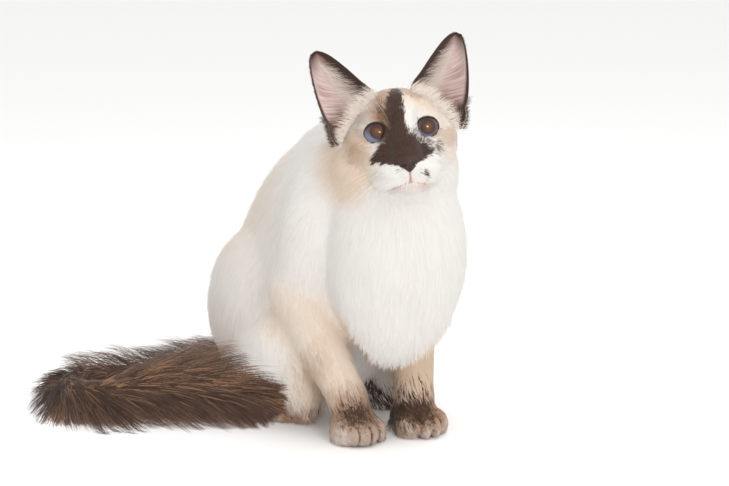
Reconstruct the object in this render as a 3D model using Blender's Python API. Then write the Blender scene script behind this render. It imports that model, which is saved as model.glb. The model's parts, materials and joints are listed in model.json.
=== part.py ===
"""A seated Balinese cat at life size, as a still museum model.

Metres, +Z up. The cat faces -Y and its left side is +X. Trunk and legs are lofted masses, and the head is a
smooth blend of ellipsoids found along rays from its middle. A voxel remesh fuses them into one skin, which is
parted with thin cuts. The tail's plume is a core with a coat of flat, tapered locks fused to it.
"""

import math
import random

import bmesh
import bpy
import numpy as np
from mathutils import Matrix, Vector
from mathutils.bvhtree import BVHTree

# Gaps, mesh fineness and triangle budgets.
PART_GAP = 0.0003
RIM_STEP = 0.0008
FINE_RIM_STEP = 0.0006
ON_CUT = 1e-5
VOLUME_ROOM = 25e-9
VOXEL = 0.0017
HEAD_VOXEL = 0.0013
BODY_TRIANGLES = 3500
HEAD_TRIANGLES = 2400

# Trunk ribs from the seat up to the nape: back (y, z), front (y, z), half width, shift to the left.
TRUNK_RIBS = (
    ((0.176, 0.007), (0.094, 0.007), 0.036, 0.000),
    ((0.194, 0.026), (0.070, 0.020), 0.052, 0.000),
    ((0.202, 0.056), (0.046, 0.044), 0.059, 0.000),
    ((0.201, 0.088), (0.026, 0.066), 0.060, 0.000),
    ((0.194, 0.119), (0.006, 0.084), 0.060, 0.000),
    ((0.182, 0.149), (-0.012, 0.106), 0.060, 0.001),
    ((0.165, 0.176), (-0.022, 0.134), 0.058, 0.003),
    ((0.145, 0.199), (-0.026, 0.160), 0.055, 0.005),
    ((0.121, 0.217), (-0.026, 0.182), 0.051, 0.007),
    ((0.097, 0.231), (-0.022, 0.200), 0.046, 0.009),
    ((0.076, 0.241), (-0.016, 0.215), 0.040, 0.011),
)
CHEST_CENTRE = (0.008, 0.000, 0.143)
CHEST_HALF = (0.057, 0.047, 0.079)
RUFF_CENTRE = (0.011, 0.008, 0.207)
RUFF_HALF = (0.050, 0.043, 0.042)
NAPE = ((0.018, 0.030, 0.232, 0.030), (0.012, 0.060, 0.218, 0.036), (0.006, 0.090, 0.200, 0.036))

# Limb chains: (x, y, z, radius), given for the cat's right side at its own stance, then its left.
UPPER_ARM = {
    "right": ((-0.030, 0.056, 0.190, 0.022), (-0.041, 0.042, 0.168, 0.026), (-0.047, 0.042, 0.138, 0.025),
              (-0.053, 0.052, 0.114, 0.021)),
    "left": ((0.038, 0.052, 0.190, 0.022), (0.047, 0.036, 0.168, 0.025), (0.050, 0.036, 0.138, 0.023),
             (0.048, 0.044, 0.114, 0.020)),
}
FOREARM = {
    "right": ((-0.055, 0.052, 0.114, 0.0215), (-0.050, 0.036, 0.090, 0.0200), (-0.043, 0.020, 0.062, 0.0172),
              (-0.036, 0.007, 0.038, 0.0155), (-0.032, 0.001, 0.020, 0.0150)),
    "left": ((0.048, 0.044, 0.114, 0.0205), (0.042, 0.030, 0.090, 0.0185), (0.034, 0.014, 0.062, 0.0165),
             (0.026, 0.001, 0.038, 0.0152), (0.023, -0.005, 0.020, 0.0148)),
}
PAW_CENTRE = {"right": (-0.031, -0.001, 0.0115), "left": (0.021, -0.009, 0.0115)}
PAW_TURN = {"right": math.radians(-14), "left": math.radians(-2)}
PAW_HALF = (0.0195, 0.0215, 0.0135)
TOE_RADIUS = 0.0078
TOE_SPREAD = (-0.0150, -0.0052, 0.0052, 0.0150)
TOE_REACH = (0.0110, 0.0178, 0.0182, 0.0120)

THIGH_CENTRE = {"right": (-0.042, 0.130, 0.082), "left": (0.042, 0.128, 0.082)}
THIGH_HALF = (0.034, 0.060, 0.068)
THIGH_LEAN = math.radians(22)
KNEE = {"right": (-0.055, 0.066, 0.066, 0.030), "left": (0.055, 0.062, 0.066, 0.030)}
FLANK_COAT = {"right": (-0.045, 0.058, 0.040), "left": (0.047, 0.056, 0.042)}
FLANK_COAT_HALF = (0.021, 0.026, 0.037)
SHANK = {
    "right": ((-0.060, 0.066, 0.066, 0.026), (-0.058, 0.100, 0.044, 0.025), (-0.052, 0.140, 0.024, 0.018),
              (-0.049, 0.160, 0.016, 0.0135)),
    "left": ((0.060, 0.062, 0.066, 0.026), (0.057, 0.096, 0.044, 0.025), (0.051, 0.134, 0.024, 0.018),
             (0.048, 0.152, 0.016, 0.0135)),
}
HIND_FOOT = {
    "right": ((-0.049, 0.160, 0.0125, 0.0120), (-0.049, 0.132, 0.0120, 0.0120), (-0.048, 0.106, 0.0122, 0.0130),
              (-0.047, 0.090, 0.0125, 0.0145)),
    "left": ((0.048, 0.150, 0.0125, 0.0120), (0.048, 0.122, 0.0120, 0.0120), (0.046, 0.094, 0.0122, 0.0130),
             (0.044, 0.080, 0.0125, 0.0145)),
}
HIND_PAW_CENTRE = {"right": (-0.046, 0.083, 0.0110), "left": (0.042, 0.072, 0.0110)}
HIND_PAW_TURN = {"right": math.radians(-6), "left": math.radians(4)}
HIND_PAW_HALF = (0.0170, 0.0210, 0.0125)

# The head has its own frame: origin midway between the eyes, L to the cat's left, F forward, U up.
EYE_MIDPOINT = (-0.0025, -0.022, 0.2485)
HEAD_YAW = math.radians(-27.0)
HEAD_PITCH = math.radians(11.0)
HEAD_ROLL = math.radians(-7.0)
EYE_SIDE = 0.0208
EYE_DEPTH = -0.0065
EYE_RADIUS = 0.0105
EYE_OPENING = (0.0092, 0.0086)
LID_RADIUS = 0.0119

# Masses of the skull and face: left, forward, up, half axes (left, forward, up), doubled where left is not 0.
HEAD_MIDDLE = (0.0, -0.022, -0.008)
HEAD_BLEND = 0.0032
HEAD_MASSES = (
    (0.000, -0.030, 0.0030, 0.0340, 0.0340, 0.0295),
    (0.000, -0.011, 0.0050, 0.0270, 0.0160, 0.0220),
    (0.0240, -0.021, -0.0110, 0.0195, 0.0235, 0.0215),
    (0.0160, -0.004, -0.0240, 0.0140, 0.0160, 0.0130),
    (0.000, 0.000, 0.0000, 0.0098, 0.0098, 0.0120),
    (0.000, 0.008, -0.0090, 0.0092, 0.0095, 0.0110),
    (0.000, 0.0135, -0.0175, 0.0086, 0.0092, 0.0100),
    (0.000, 0.0185, -0.0255, 0.0080, 0.0085, 0.0075),
    (0.0112, 0.0105, -0.0345, 0.0138, 0.0138, 0.0092),
    (0.000, 0.0085, -0.0428, 0.0100, 0.0105, 0.0078),
    (0.000, -0.003, -0.0400, 0.0165, 0.0170, 0.0095),
    (0.000, -0.014, -0.0330, 0.0240, 0.0250, 0.0155),
)

# Cuts made in the head frame: mouth, cleft of the lip, nose leather and nostrils.
MOUTH_HALF_WIDTH = 0.0150
MOUTH_MIDDLE_UP = -0.0412
MOUTH_CORNER_DROP = 0.0052
LIP_DEPTH = 0.0022
NOSE_TOP_UP = -0.0225
NOSE_LOW_UP = -0.0325
NOSE_BACK_FORWARD = 0.0185
NOSE_HALF_TOP = 0.0078
NOSE_HALF_LOW = 0.0030
NOSTRIL = (0.0036, 0.0272, -0.0285)
NOSTRIL_HALF = (0.0015, 0.0028, 0.0011)

# Ear edges in the head frame from base to tip: left, forward, up. Both ears share them, each with its own swing.
EAR_INNER_EDGE = (
    (0.0150, -0.0240, 0.0240), (0.0160, -0.0220, 0.0335), (0.0240, -0.0190, 0.0430), (0.0335, -0.0165, 0.0550),
    (0.0430, -0.0155, 0.0655), (0.0515, -0.0155, 0.0715), (0.0585, -0.0170, 0.0725),
)
EAR_OUTER_EDGE = (
    (0.0440, -0.0100, -0.0150), (0.0500, -0.0095, -0.0050), (0.0550, -0.0100, 0.0095), (0.0585, -0.0110, 0.0230),
    (0.0612, -0.0130, 0.0400), (0.0622, -0.0150, 0.0570), (0.0612, -0.0170, 0.0690),
)
EAR_CUP = (0.0230, 0.0225, 0.0210, 0.0175, 0.0120, 0.0065, 0.0025)
EAR_WALL = (0.0046, 0.0036, 0.0026, 0.0020, 0.0017, 0.0015, 0.0013)
EAR_SWING = {"left": math.radians(-1.5), "right": math.radians(2.5)}

# Tail path on the floor from rump to tip, (x, y, z, coat radius), the middle of its turn, and where it is parted.
TAIL_PATH = (
    (-0.004, 0.172, 0.034, 0.0180), (-0.024, 0.193, 0.026, 0.0210), (-0.060, 0.202, 0.023, 0.0225),
    (-0.105, 0.204, 0.022, 0.0225), (-0.152, 0.204, 0.023, 0.0235), (-0.184, 0.194, 0.025, 0.0260),
    (-0.197, 0.170, 0.028, 0.0290), (-0.186, 0.146, 0.030, 0.0310), (-0.162, 0.131, 0.032, 0.0330),
    (-0.136, 0.113, 0.032, 0.0330), (-0.106, 0.093, 0.029, 0.0290), (-0.086, 0.079, 0.024, 0.0220),
    (-0.072, 0.070, 0.019, 0.0120),
)
TAIL_TURN = (-0.158, 0.170)
TAIL_TURN_ROOM = 0.009
TAIL_STEPS = 8
TAIL_END_STEP = 0.0025
TAIL_TIP_BOX = ((-0.160, -0.100, -0.050), (-0.045, 0.170, 0.150))
TAIL_MID_X = -0.105

# The plume: core as a share of the coat's depth, and its locks. Reaches are in stations of the path.
TAIL_CORE = 0.50
TAIL_LOCKS = 41
TAIL_FIRST_LOCK = 0.9
GOLDEN_TURN = 2.39996
LOCK_ROOT = 0.55
LOCK_DEPTH = 0.10
LOCK_REACH = (1.9, 2.6)
LOCK_WIDTH = (0.40, 0.54)
LOCK_RISE = (0.94, 1.10)
LOCK_SWAY = 0.12
# Sections of a lock from root to tip: share of its reach, of its width and of its rise.
LOCK_SECTIONS = ((0.0, 0.60, 0.0), (0.30, 1.00, 0.62), (0.66, 0.66, 0.94))

# Where the skin is parted: planes as (point, normal), and side regions as (depth, middle, half sizes).
NECK_TOP = (0.0180, -0.0540)
NECK_TOP_NORMAL = (0.53, 0.85)
NECK_BASE = ((0.0, -0.030, 0.166), (0.0, -0.30, 0.95))
LOIN_FRONT = ((0.0, 0.088, 0.130), (0.0, -0.80, 0.60))
CROP_OVERLAP = 0.008
THIGH_REGION = (0.044, (0.118, 0.080), (0.078, 0.072))
UPPER_ARM_REGION = (0.040, (0.046, 0.150), (0.037, 0.056))
SLEEVE = 0.0025

# Colours (linear red, green, blue) with roughness.
FINISHES = {
    "white_coat": ((0.80, 0.75, 0.70), 0.85),
    "cream_coat": ((0.70, 0.61, 0.52), 0.85),
    "tan_points": ((0.40, 0.27, 0.18), 0.85),
    "seal_coat": ((0.14, 0.070, 0.038), 0.85),
    "ear_leather": ((0.48, 0.32, 0.29), 0.80),
    "nose_leather": ((0.045, 0.022, 0.017), 0.45),
    "eye_cornea": ((0.14, 0.06, 0.03), 0.08),
}
NODE_FINISH = {
    "head": "cream_coat", "nose": "nose_leather", "ear_left": "ear_leather", "ear_right": "ear_leather",
    "eye_left": "eye_cornea", "eye_right": "eye_cornea", "forepaw_left": "tan_points",
    "forepaw_right": "tan_points", "forearm_left": "cream_coat", "forearm_right": "cream_coat",
    "hind_foot_left": "seal_coat", "hind_foot_right": "tan_points", "tail_root": "seal_coat",
    "tail_mid": "seal_coat", "tail_bend": "seal_coat", "tail_tip": "seal_coat",
}


def head_matrix():
    """The head frame's matrix: its columns are left, back and up, so that a head at rest faces -Y."""
    turn = (
        Matrix.Rotation(HEAD_YAW, 4, "Z")
        @ Matrix.Rotation(-HEAD_PITCH, 4, "X")
        @ Matrix.Rotation(HEAD_ROLL, 4, "Y")
    )
    return Matrix.Translation(EYE_MIDPOINT) @ turn


def in_head(left, forward, up):
    """A point of the head frame, in the cat's frame."""
    return head_matrix() @ Vector((left, -forward, up))


def new_object(name, bm):
    """An object made from a bmesh, with its faces pointing out."""
    bmesh.ops.recalc_face_normals(bm, faces=bm.faces)
    mesh = bpy.data.meshes.new(name)
    bm.to_mesh(mesh)
    bm.free()
    made = bpy.data.objects.new(name, mesh)
    bpy.context.scene.collection.objects.link(made)
    return made


def copied(obj, name):
    """A copy of an object with a mesh of its own."""
    made = bpy.data.objects.new(name, obj.data.copy())
    bpy.context.scene.collection.objects.link(made)
    return made


def applied(obj):
    """The object with its modifiers made part of its mesh."""
    graph = bpy.context.evaluated_depsgraph_get()
    mesh = bpy.data.meshes.new_from_object(obj.evaluated_get(graph))
    obj.modifiers.clear()
    obj.data = mesh
    return obj


def smooth_rows(rows, per_span):
    """Rows of numbers joined by a Catmull-Rom curve, with per_span steps between one row and the next."""
    rows = np.asarray(rows, float)
    padded = np.vstack((2 * rows[0] - rows[1], rows, 2 * rows[-1] - rows[-2]))
    steps = np.arange(0, len(rows) - 1, 1 / per_span)
    steps = np.append(steps, len(rows) - 1 - 1e-9)
    span = np.floor(steps).astype(int)
    t = (steps - span)[:, None]
    a, b, c, d = (padded[span + k] for k in range(4))
    return 0.5 * (2 * b + (c - a) * t + (2 * a - 5 * b + 4 * c - d) * t**2 + (3 * b - a - 3 * c + d) * t**3)


def rings_to_object(name, rings, tips=None):
    """A closed skin over rings of points, with a tip point past each end, or else a flat fan on each end."""
    bm = bmesh.new()
    rows = [[bm.verts.new(point) for point in ring] for ring in rings]
    sides = len(rows[0])
    for row, following in zip(rows, rows[1:]):
        for k in range(sides):
            n = (k + 1) % sides
            bm.faces.new((row[k], row[n], following[n], following[k]))
    tips = tips or (sum((v.co for v in rows[0]), Vector()) / sides, sum((v.co for v in rows[-1]), Vector()) / sides)
    for row, tip in ((rows[0], tips[0]), (rows[-1], tips[1])):
        apex = bm.verts.new(tip)
        for k in range(sides):
            bm.faces.new((row[k], row[(k + 1) % sides], apex))
    bmesh.ops.triangulate(bm, faces=bm.faces)
    return new_object(name, bm)


def trunk():
    """The trunk and neck, as elliptical ribs that lean with the spine."""
    rows = [(*back, *front, half, shift) for back, front, half, shift in TRUNK_RIBS]
    rings, sides = [], 40
    for back_y, back_z, front_y, front_z, half, shift in smooth_rows(rows, 4):
        centre = Vector((shift, (back_y + front_y) / 2, (back_z + front_z) / 2))
        reach = Vector((0, (front_y - back_y) / 2, (front_z - back_z) / 2))
        ring = []
        for k in range(sides):
            angle = 2 * math.pi * k / sides
            across = math.copysign(abs(math.cos(angle)) ** 0.9, math.cos(angle))
            ring.append(centre + Vector((half * across, 0, 0)) + reach * math.sin(angle))
        rings.append(ring)
    low = sum(rings[0], Vector()) / sides - Vector((0, 0, 0.003))
    high = sum(rings[-1], Vector()) / sides + Vector((0, -0.004, 0.010))
    return rings_to_object("trunk_mass", rings, (low, high))


def chain(name, stations, per_span=4, sides=20, grow=0.0, flat_floor=False, domed=True):
    """A limb: round sections carried along a smooth line through (x, y, z, radius) stations, ends domed or flat."""
    rows = smooth_rows(stations, per_span)
    centres, radii = rows[:, :3], [float(radius) + grow for radius in rows[:, 3]]
    along = np.gradient(centres, axis=0)
    along /= np.linalg.norm(along, axis=1)[:, None]
    first, last = Vector(along[0]), Vector(along[-1])

    def ring(centre, direction, radius):
        side = direction.cross(Vector((1.0, 0.08, 0.05))).normalized()
        other = direction.cross(side).normalized()
        points = [
            Vector(centre) + radius * (side * math.cos(a) + other * math.sin(a))
            for a in (2 * math.pi * k / sides for k in range(sides))
        ]
        return [Vector((p.x, p.y, max(p.z, 0.0))) for p in points] if flat_floor else points

    rings = [ring(centre, Vector(direction), radius) for centre, direction, radius in zip(centres, along, radii)]
    if not domed:
        return rings_to_object(name, rings)
    start, end = Vector(centres[0]), Vector(centres[-1])
    for share in (0.50, 0.90):
        width = math.sqrt(1 - share**2)
        rings.insert(0, ring(start - first * radii[0] * share, first, radii[0] * width))
        rings.append(ring(end + last * radii[-1] * share, last, radii[-1] * width))
    return rings_to_object(name, rings, (start - first * radii[0], end + last * radii[-1]))


def ellipsoid(name, matrix, half, detail=3):
    """An ellipsoid with the half axes given, placed and turned by the matrix."""
    bm = bmesh.new()
    bmesh.ops.create_icosphere(bm, subdivisions=detail, radius=1.0)
    bm.transform(matrix @ Matrix.Diagonal((*half, 1.0)))
    return new_object(name, bm)


def paw(name, centre, turn, half):
    """A paw: a low pad body and four toes spread in an arc before it."""
    place = Matrix.Translation(centre) @ Matrix.Rotation(turn, 4, "Z")
    masses = [ellipsoid(name + "_pad", place, half)]
    share = half[0] / PAW_HALF[0]
    for k, (side, reach) in enumerate(zip(TOE_SPREAD, TOE_REACH)):
        toe = place @ Matrix.Translation((side * share, -reach, -0.0030)) @ Matrix.Rotation(-side * 22, 4, "Z")
        masses.append(ellipsoid(f"{name}_toe_{k}", toe, (TOE_RADIUS * share * 0.86, 0.0115, 0.0100 * share), 3))
    return masses


def limbs():
    """The masses of the four legs."""
    masses = []
    for side in ("right", "left"):
        masses.append(chain("upper_arm_mass_" + side, UPPER_ARM[side]))
        masses.append(chain("forearm_mass_" + side, FOREARM[side]))
        masses += paw("paw_mass_" + side, PAW_CENTRE[side], PAW_TURN[side], PAW_HALF)
        lean = Matrix.Translation(THIGH_CENTRE[side]) @ Matrix.Rotation(THIGH_LEAN, 4, "X")
        masses.append(ellipsoid("thigh_mass_" + side, lean, THIGH_HALF, 4))
        x, y, z, radius = KNEE[side]
        knee = (radius * 0.8, radius, radius * 1.1)
        masses.append(ellipsoid("knee_mass_" + side, Matrix.Translation((x, y, z)), knee))
        masses.append(ellipsoid("flank_coat_" + side, Matrix.Translation(FLANK_COAT[side]), FLANK_COAT_HALF))
        masses.append(chain("shank_mass_" + side, SHANK[side]))
        masses.append(chain("foot_mass_" + side, HIND_FOOT[side]))
        masses += paw("hind_paw_mass_" + side, HIND_PAW_CENTRE[side], HIND_PAW_TURN[side], HIND_PAW_HALF)
    return masses


def head_distance(points):
    """About how far points of the head frame lie outside the head: the soft union of its ellipsoids and lids."""
    masses = [(EYE_SIDE, EYE_DEPTH, 0.0, LID_RADIUS, LID_RADIUS, LID_RADIUS), *HEAD_MASSES]
    rows = []
    for left, forward, up, *half in masses:
        for sign in (1, -1) if left else (1,):
            offset = points - (sign * left, forward, up)
            near = np.linalg.norm(offset / half, axis=1)
            steep = np.linalg.norm(offset / np.square(half), axis=1)
            rows.append(near * (near - 1) / np.maximum(steep, 1e-9))
    rows = np.array(rows)
    lowest = rows.min(axis=0)
    return lowest - HEAD_BLEND * np.log(np.exp((lowest - rows) / HEAD_BLEND).sum(axis=0))


def reach_along(starts, directions, longest):
    """How far each ray goes from inside the head to its surface, by halving."""
    low, high = np.zeros(len(starts)), np.full(len(starts), longest)
    for _ in range(22):
        middle = (low + high) / 2
        inside = head_distance(starts + directions * middle[:, None]) < 0
        low, high = np.where(inside, middle, low), np.where(inside, high, middle)
    return low


def front_of(left, up):
    """How far forward the face reaches at a place seen from its front."""
    start = np.array([(left, -0.010, up)])
    return -0.010 + float(reach_along(start, np.array([(0.0, 1.0, 0.0)]), 0.05)[0])


def head_mass():
    """The head without ears and eyes, found along rays from its middle."""
    bm = bmesh.new()
    bmesh.ops.create_icosphere(bm, subdivisions=6, radius=1.0)
    directions = np.array([vert.co for vert in bm.verts])
    directions /= np.linalg.norm(directions, axis=1)[:, None]
    starts = np.tile(HEAD_MIDDLE, (len(directions), 1))
    points = starts + directions * reach_along(starts, directions, 0.08)[:, None]
    for vert, (left, forward, up) in zip(bm.verts, points):
        vert.co = in_head(left, forward, up)
    return new_object("head_mass", bm)


def joined(name, masses):
    """Several meshes as one object, each still a shell of its own."""
    bm = bmesh.new()
    for mass in masses:
        bm.from_mesh(mass.data)
        bpy.data.objects.remove(mass)
    mesh = bpy.data.meshes.new(name)
    bm.to_mesh(mesh)
    bm.free()
    made = bpy.data.objects.new(name, mesh)
    bpy.context.scene.collection.objects.link(made)
    return made


def softness(points):
    """How far each point is smoothed, 0 to 1: fully on the body, and a little on face and paws."""
    turn = head_matrix().inverted()
    local = points @ np.array(turn.to_3x3()).T + np.array(turn.translation)
    head = np.clip(np.linalg.norm(local - (0, 0.016, -0.006), axis=1) / 0.040 - 1.05, 0, 1)
    paws = np.clip((points[:, 2] - 0.020) / 0.03, 0, 1)
    return 0.06 + 0.94 * np.minimum(head, paws)


def fused(source, voxel):
    """The body's masses as one smooth closed skin with faces of about the voxel's size."""
    skin = copied(source, "skin")
    remesh = skin.modifiers.new("fuse", "REMESH")
    remesh.mode = "VOXEL"
    remesh.voxel_size = voxel
    applied(skin)
    points = np.empty(len(skin.data.vertices) * 3, np.float32)
    skin.data.vertices.foreach_get("co", points)
    levels = np.round(softness(points.reshape(-1, 3).astype(float)) * 20).astype(int)
    group = skin.vertex_groups.new(name="soft")
    for level in range(1, 21):
        group.add(np.flatnonzero(levels == level).tolist(), level / 20, "REPLACE")
    smooth = skin.modifiers.new("smooth", "SMOOTH")
    smooth.factor = 0.5
    smooth.iterations = round(34 * (VOXEL / voxel) ** 2)
    smooth.vertex_group = "soft"
    return applied(skin)


def cropped(skin, point, normal, triangles):
    """The skin on the side of a plane that its normal points to, closed there, with about so many triangles."""
    bm = bmesh.new()
    bm.from_mesh(skin.data)
    everything = [*bm.verts, *bm.edges, *bm.faces]
    cut = bmesh.ops.bisect_plane(bm, geom=everything, plane_co=point, plane_no=normal, clear_inner=True)
    edges = [item for item in cut["geom_cut"] if isinstance(item, bmesh.types.BMEdge)]
    bmesh.ops.triangle_fill(bm, use_beauty=True, edges=edges)
    bmesh.ops.triangulate(bm, faces=bm.faces)
    mesh = bpy.data.meshes.new(skin.name)
    bm.to_mesh(mesh)
    bm.free()
    skin.data = mesh
    decimate = skin.modifiers.new("thin", "DECIMATE")
    decimate.ratio = triangles / len(mesh.polygons)
    decimate.use_collapse_triangulate = True
    applied(skin)
    return tidied(skin)


def tidied(obj):
    """Merges points that coincide, drops flat slivers and keeps the largest closed surface."""
    bm = bmesh.new()
    bm.from_mesh(obj.data)
    bmesh.ops.remove_doubles(bm, verts=bm.verts, dist=2e-5)
    bmesh.ops.dissolve_degenerate(bm, edges=bm.edges, dist=2e-5)
    bmesh.ops.triangulate(bm, faces=bm.faces)
    left = set(bm.faces)
    shells = []
    while left:
        start = left.pop()
        shell, open_ends = {start}, [start]
        while open_ends:
            for edge in open_ends.pop().edges:
                for face in edge.link_faces if len(edge.link_faces) == 2 else ():
                    if face in left:
                        left.remove(face)
                        shell.add(face)
                        open_ends.append(face)
        shells.append(shell)
    keep = max(shells, key=len)
    bmesh.ops.delete(bm, geom=[face for face in bm.faces if face not in keep], context="FACES")
    mesh = bpy.data.meshes.new(obj.name)
    bm.to_mesh(mesh)
    bm.free()
    obj.data = mesh
    return obj


def welded(obj, cutter, reach):
    """Merges points of a cut's rim that lie closer than a reach, where the solid stays closed and as large."""
    tree = BVHTree.FromPolygons([vert.co for vert in cutter.vertices], [face.vertices for face in cutter.polygons])
    for share in (1.0, 0.7, 0.45, 0.25):
        bm = bmesh.new()
        bm.from_mesh(obj.data)
        volume = bm.calc_volume()
        rim = [vert for vert in bm.verts if tree.find_nearest(vert.co, ON_CUT)[0] is not None]
        merges = bmesh.ops.find_doubles(bm, verts=rim, dist=reach * share)["targetmap"]
        bmesh.ops.weld_verts(bm, targetmap=merges)
        bmesh.ops.dissolve_degenerate(bm, edges=bm.edges, dist=2e-5)
        bmesh.ops.triangulate(bm, faces=bm.faces)
        sound = all(len(edge.link_faces) == 2 for edge in bm.edges)
        sound = sound and abs(bm.calc_volume() - volume) < VOLUME_ROOM
        if sound:
            bm.to_mesh(obj.data)
        bm.free()
        if sound:
            break
    return obj


def boolean(target, cutter, operation, solver="EXACT", weld=0.0):
    """Applies a Boolean to the target and removes the cutter."""
    step = target.modifiers.new("step", "BOOLEAN")
    step.solver = solver
    step.operation = operation
    step.object = cutter
    cutter.hide_render = True
    cutter.display_type = "WIRE"
    applied(target)
    tidied(target)
    if weld:
        welded(target, cutter.data, weld)
    bpy.data.objects.remove(cutter)
    return target


def block(name, matrix, low, high):
    """A box between two corners of a frame."""
    bm = bmesh.new()
    bmesh.ops.create_cube(bm, size=1.0)
    size = Vector(high) - Vector(low)
    centre = (Vector(high) + Vector(low)) / 2
    bm.transform(matrix @ Matrix.Translation(centre) @ Matrix.Diagonal((*size, 1.0)))
    bmesh.ops.triangulate(bm, faces=bm.faces)
    return new_object(name, bm)


def frame_at(point, normal):
    """A frame at a point whose third axis is the normal."""
    turn = Vector((0, 0, 1)).rotation_difference(Vector(normal)).to_matrix().to_4x4()
    return Matrix.Translation(point) @ turn


def half_space(point, normal, reach=0.6):
    """A region maker: all that lies past a plane, on the side its normal points to."""
    def region(grow):
        return block("region", frame_at(point, normal), (-reach, -reach, -grow), (reach, reach, reach))
    return region


def box_region(low, high, matrix=None):
    """A region maker: a box."""
    def region(grow):
        rim = Vector((grow, grow, grow))
        return block("region", matrix or Matrix(), Vector(low) - rim, Vector(high) + rim)
    return region


def side_region(side, inner, middle, half, sides=14):
    """A region maker: an oval seen from the side, from a depth under the flank outwards."""
    sign = 1 if side == "left" else -1

    def region(grow):
        angles = [2 * math.pi * k / sides for k in range(sides)]
        deep, high = half[0] + grow, half[1] + grow
        outline = [(middle[0] + deep * math.cos(a), middle[1] + high * math.sin(a)) for a in angles]
        rings = [[Vector((sign * depth, y, z)) for y, z in outline] for depth in (inner - grow, 0.12)]
        return rings_to_object("region", rings)
    return region


def sleeve_region(stations):
    """A region maker: a limb's own sections."""
    def region(grow):
        return chain("region", stations, per_span=1, sides=14, grow=grow)
    return region


def part_off(rest, name, region, weld=RIM_STEP):
    """Cuts a named piece out of the rest and leaves the parting gap between them."""
    piece = copied(rest, name)
    boolean(piece, region(-PART_GAP / 2), "INTERSECT", weld=weld)
    boolean(rest, region(PART_GAP / 2), "DIFFERENCE", weld=weld)
    return piece


def grown(obj, amount):
    """A copy of a solid with its surface moved out by an amount."""
    made = copied(obj, "grown")
    bm = bmesh.new()
    bm.from_mesh(made.data)
    bm.normal_update()
    shifts = [vert.normal * amount for vert in bm.verts]
    for vert, shift in zip(bm.verts, shifts):
        vert.co += shift
    bm.to_mesh(made.data)
    bm.free()
    return made


def ear(side):
    """One ear: a cupped wall between its inner and outer edge, thick at its root and thin at its rim."""
    sign = 1 if side == "left" else -1
    inner, outer = smooth_rows(EAR_INNER_EDGE, 2), smooth_rows(EAR_OUTER_EDGE, 2)
    cup = smooth_rows([[depth] for depth in EAR_CUP], 2)
    wall = smooth_rows([[thickness] for thickness in EAR_WALL], 2)
    across = np.linspace(0, 1, 9)
    middle = inner[:, None] + (outer - inner)[:, None] * across[None, :, None]
    middle[..., 1] -= cup * np.sin(np.pi * across)[None, :] ** 0.8
    facing = np.cross(np.gradient(middle, axis=1), np.gradient(middle, axis=0))
    facing /= np.linalg.norm(facing, axis=2)[..., None]
    half = facing * wall[..., None] / 2
    place = head_matrix() @ Matrix.Translation((0, 0, 0.010)) @ Matrix.Rotation(
        sign * EAR_SWING[side], 4, "Y"
    ) @ Matrix.Translation((0, 0, -0.010))
    bm = bmesh.new()
    layers = [
        [[bm.verts.new(place @ Vector((sign * l, -f, u))) for l, f, u in row] for row in middle + offset]
        for offset in (half, -half)
    ]
    last_row, last_column = len(middle) - 1, len(across) - 1
    front, back = layers
    for i in range(last_row):
        for j in range(last_column):
            bm.faces.new((front[i][j], front[i][j + 1], front[i + 1][j + 1], front[i + 1][j]))
            bm.faces.new((back[i][j], back[i + 1][j], back[i + 1][j + 1], back[i][j + 1]))
        for j in (0, last_column):
            bm.faces.new((front[i][j], front[i + 1][j], back[i + 1][j], back[i][j]))
    for i in (0, last_row):
        for j in range(last_column):
            bm.faces.new((front[i][j], front[i][j + 1], back[i][j + 1], back[i][j]))
    bmesh.ops.triangulate(bm, faces=bm.faces)
    return new_object("ear_" + side, bm)


def eye_frame(sign):
    """The frame of one eyeball: its third axis looks out of the opening."""
    gaze = Matrix.Rotation(math.radians(90), 4, "X") @ Matrix.Rotation(sign * math.radians(8), 4, "Y")
    return head_matrix() @ Matrix.Translation((sign * EYE_SIDE, -EYE_DEPTH, 0)) @ gaze


def eyeball(name, sign, radius, columns=18, rows=11):
    """An eyeball."""
    bm = bmesh.new()
    bmesh.ops.create_uvsphere(bm, u_segments=columns, v_segments=rows, radius=radius)
    bm.transform(eye_frame(sign))
    bmesh.ops.triangulate(bm, faces=bm.faces)
    return new_object(name, bm)


def opening_cutter(sign, sides=24):
    """The opening between an eye's lids: an oval cone that widens outwards."""
    place = eye_frame(sign)
    wide, tall = EYE_OPENING
    rings = []
    for depth, share in ((0.002, 0.90), (0.006, 1.0), (0.012, 1.12), (0.034, 1.50)):
        rings.append([
            place @ Vector((wide * share * math.cos(a), tall * share * math.sin(a), depth))
            for a in (2 * math.pi * k / sides for k in range(sides))
        ])
    return rings_to_object("opening", rings)


def groove(name, places, depth, width):
    """A wedge that cuts a groove into the face along places (left, up); width gives its half width at each."""
    rings = []
    count = len(places) - 1
    for k, (left, up) in enumerate(places):
        before, after = places[max(k - 1, 0)], places[min(k + 1, count)]
        run = Vector((after[0] - before[0], after[1] - before[1])).normalized()
        aside = Vector((-run.y, run.x))
        face = front_of(left, up)
        mouth, bottom = aside * width[k], aside * 0.0002
        rings.append([
            in_head(left + mouth.x, face + 0.004, up + mouth.y),
            in_head(left + bottom.x, face - depth, up + bottom.y),
            in_head(left - bottom.x, face - depth, up - bottom.y),
            in_head(left - mouth.x, face + 0.004, up - mouth.y),
        ])
    return rings_to_object(name, rings)


def mouth_cutter():
    """The line of the mouth: high under the cleft, lower at both corners."""
    shares = [k / 8 for k in range(-8, 9)]
    places = [(MOUTH_HALF_WIDTH * s, MOUTH_MIDDLE_UP - MOUTH_CORNER_DROP * abs(s) ** 1.3) for s in shares]
    return groove("mouth", places, LIP_DEPTH, [0.0012 - 0.0005 * s * s for s in shares])


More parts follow.
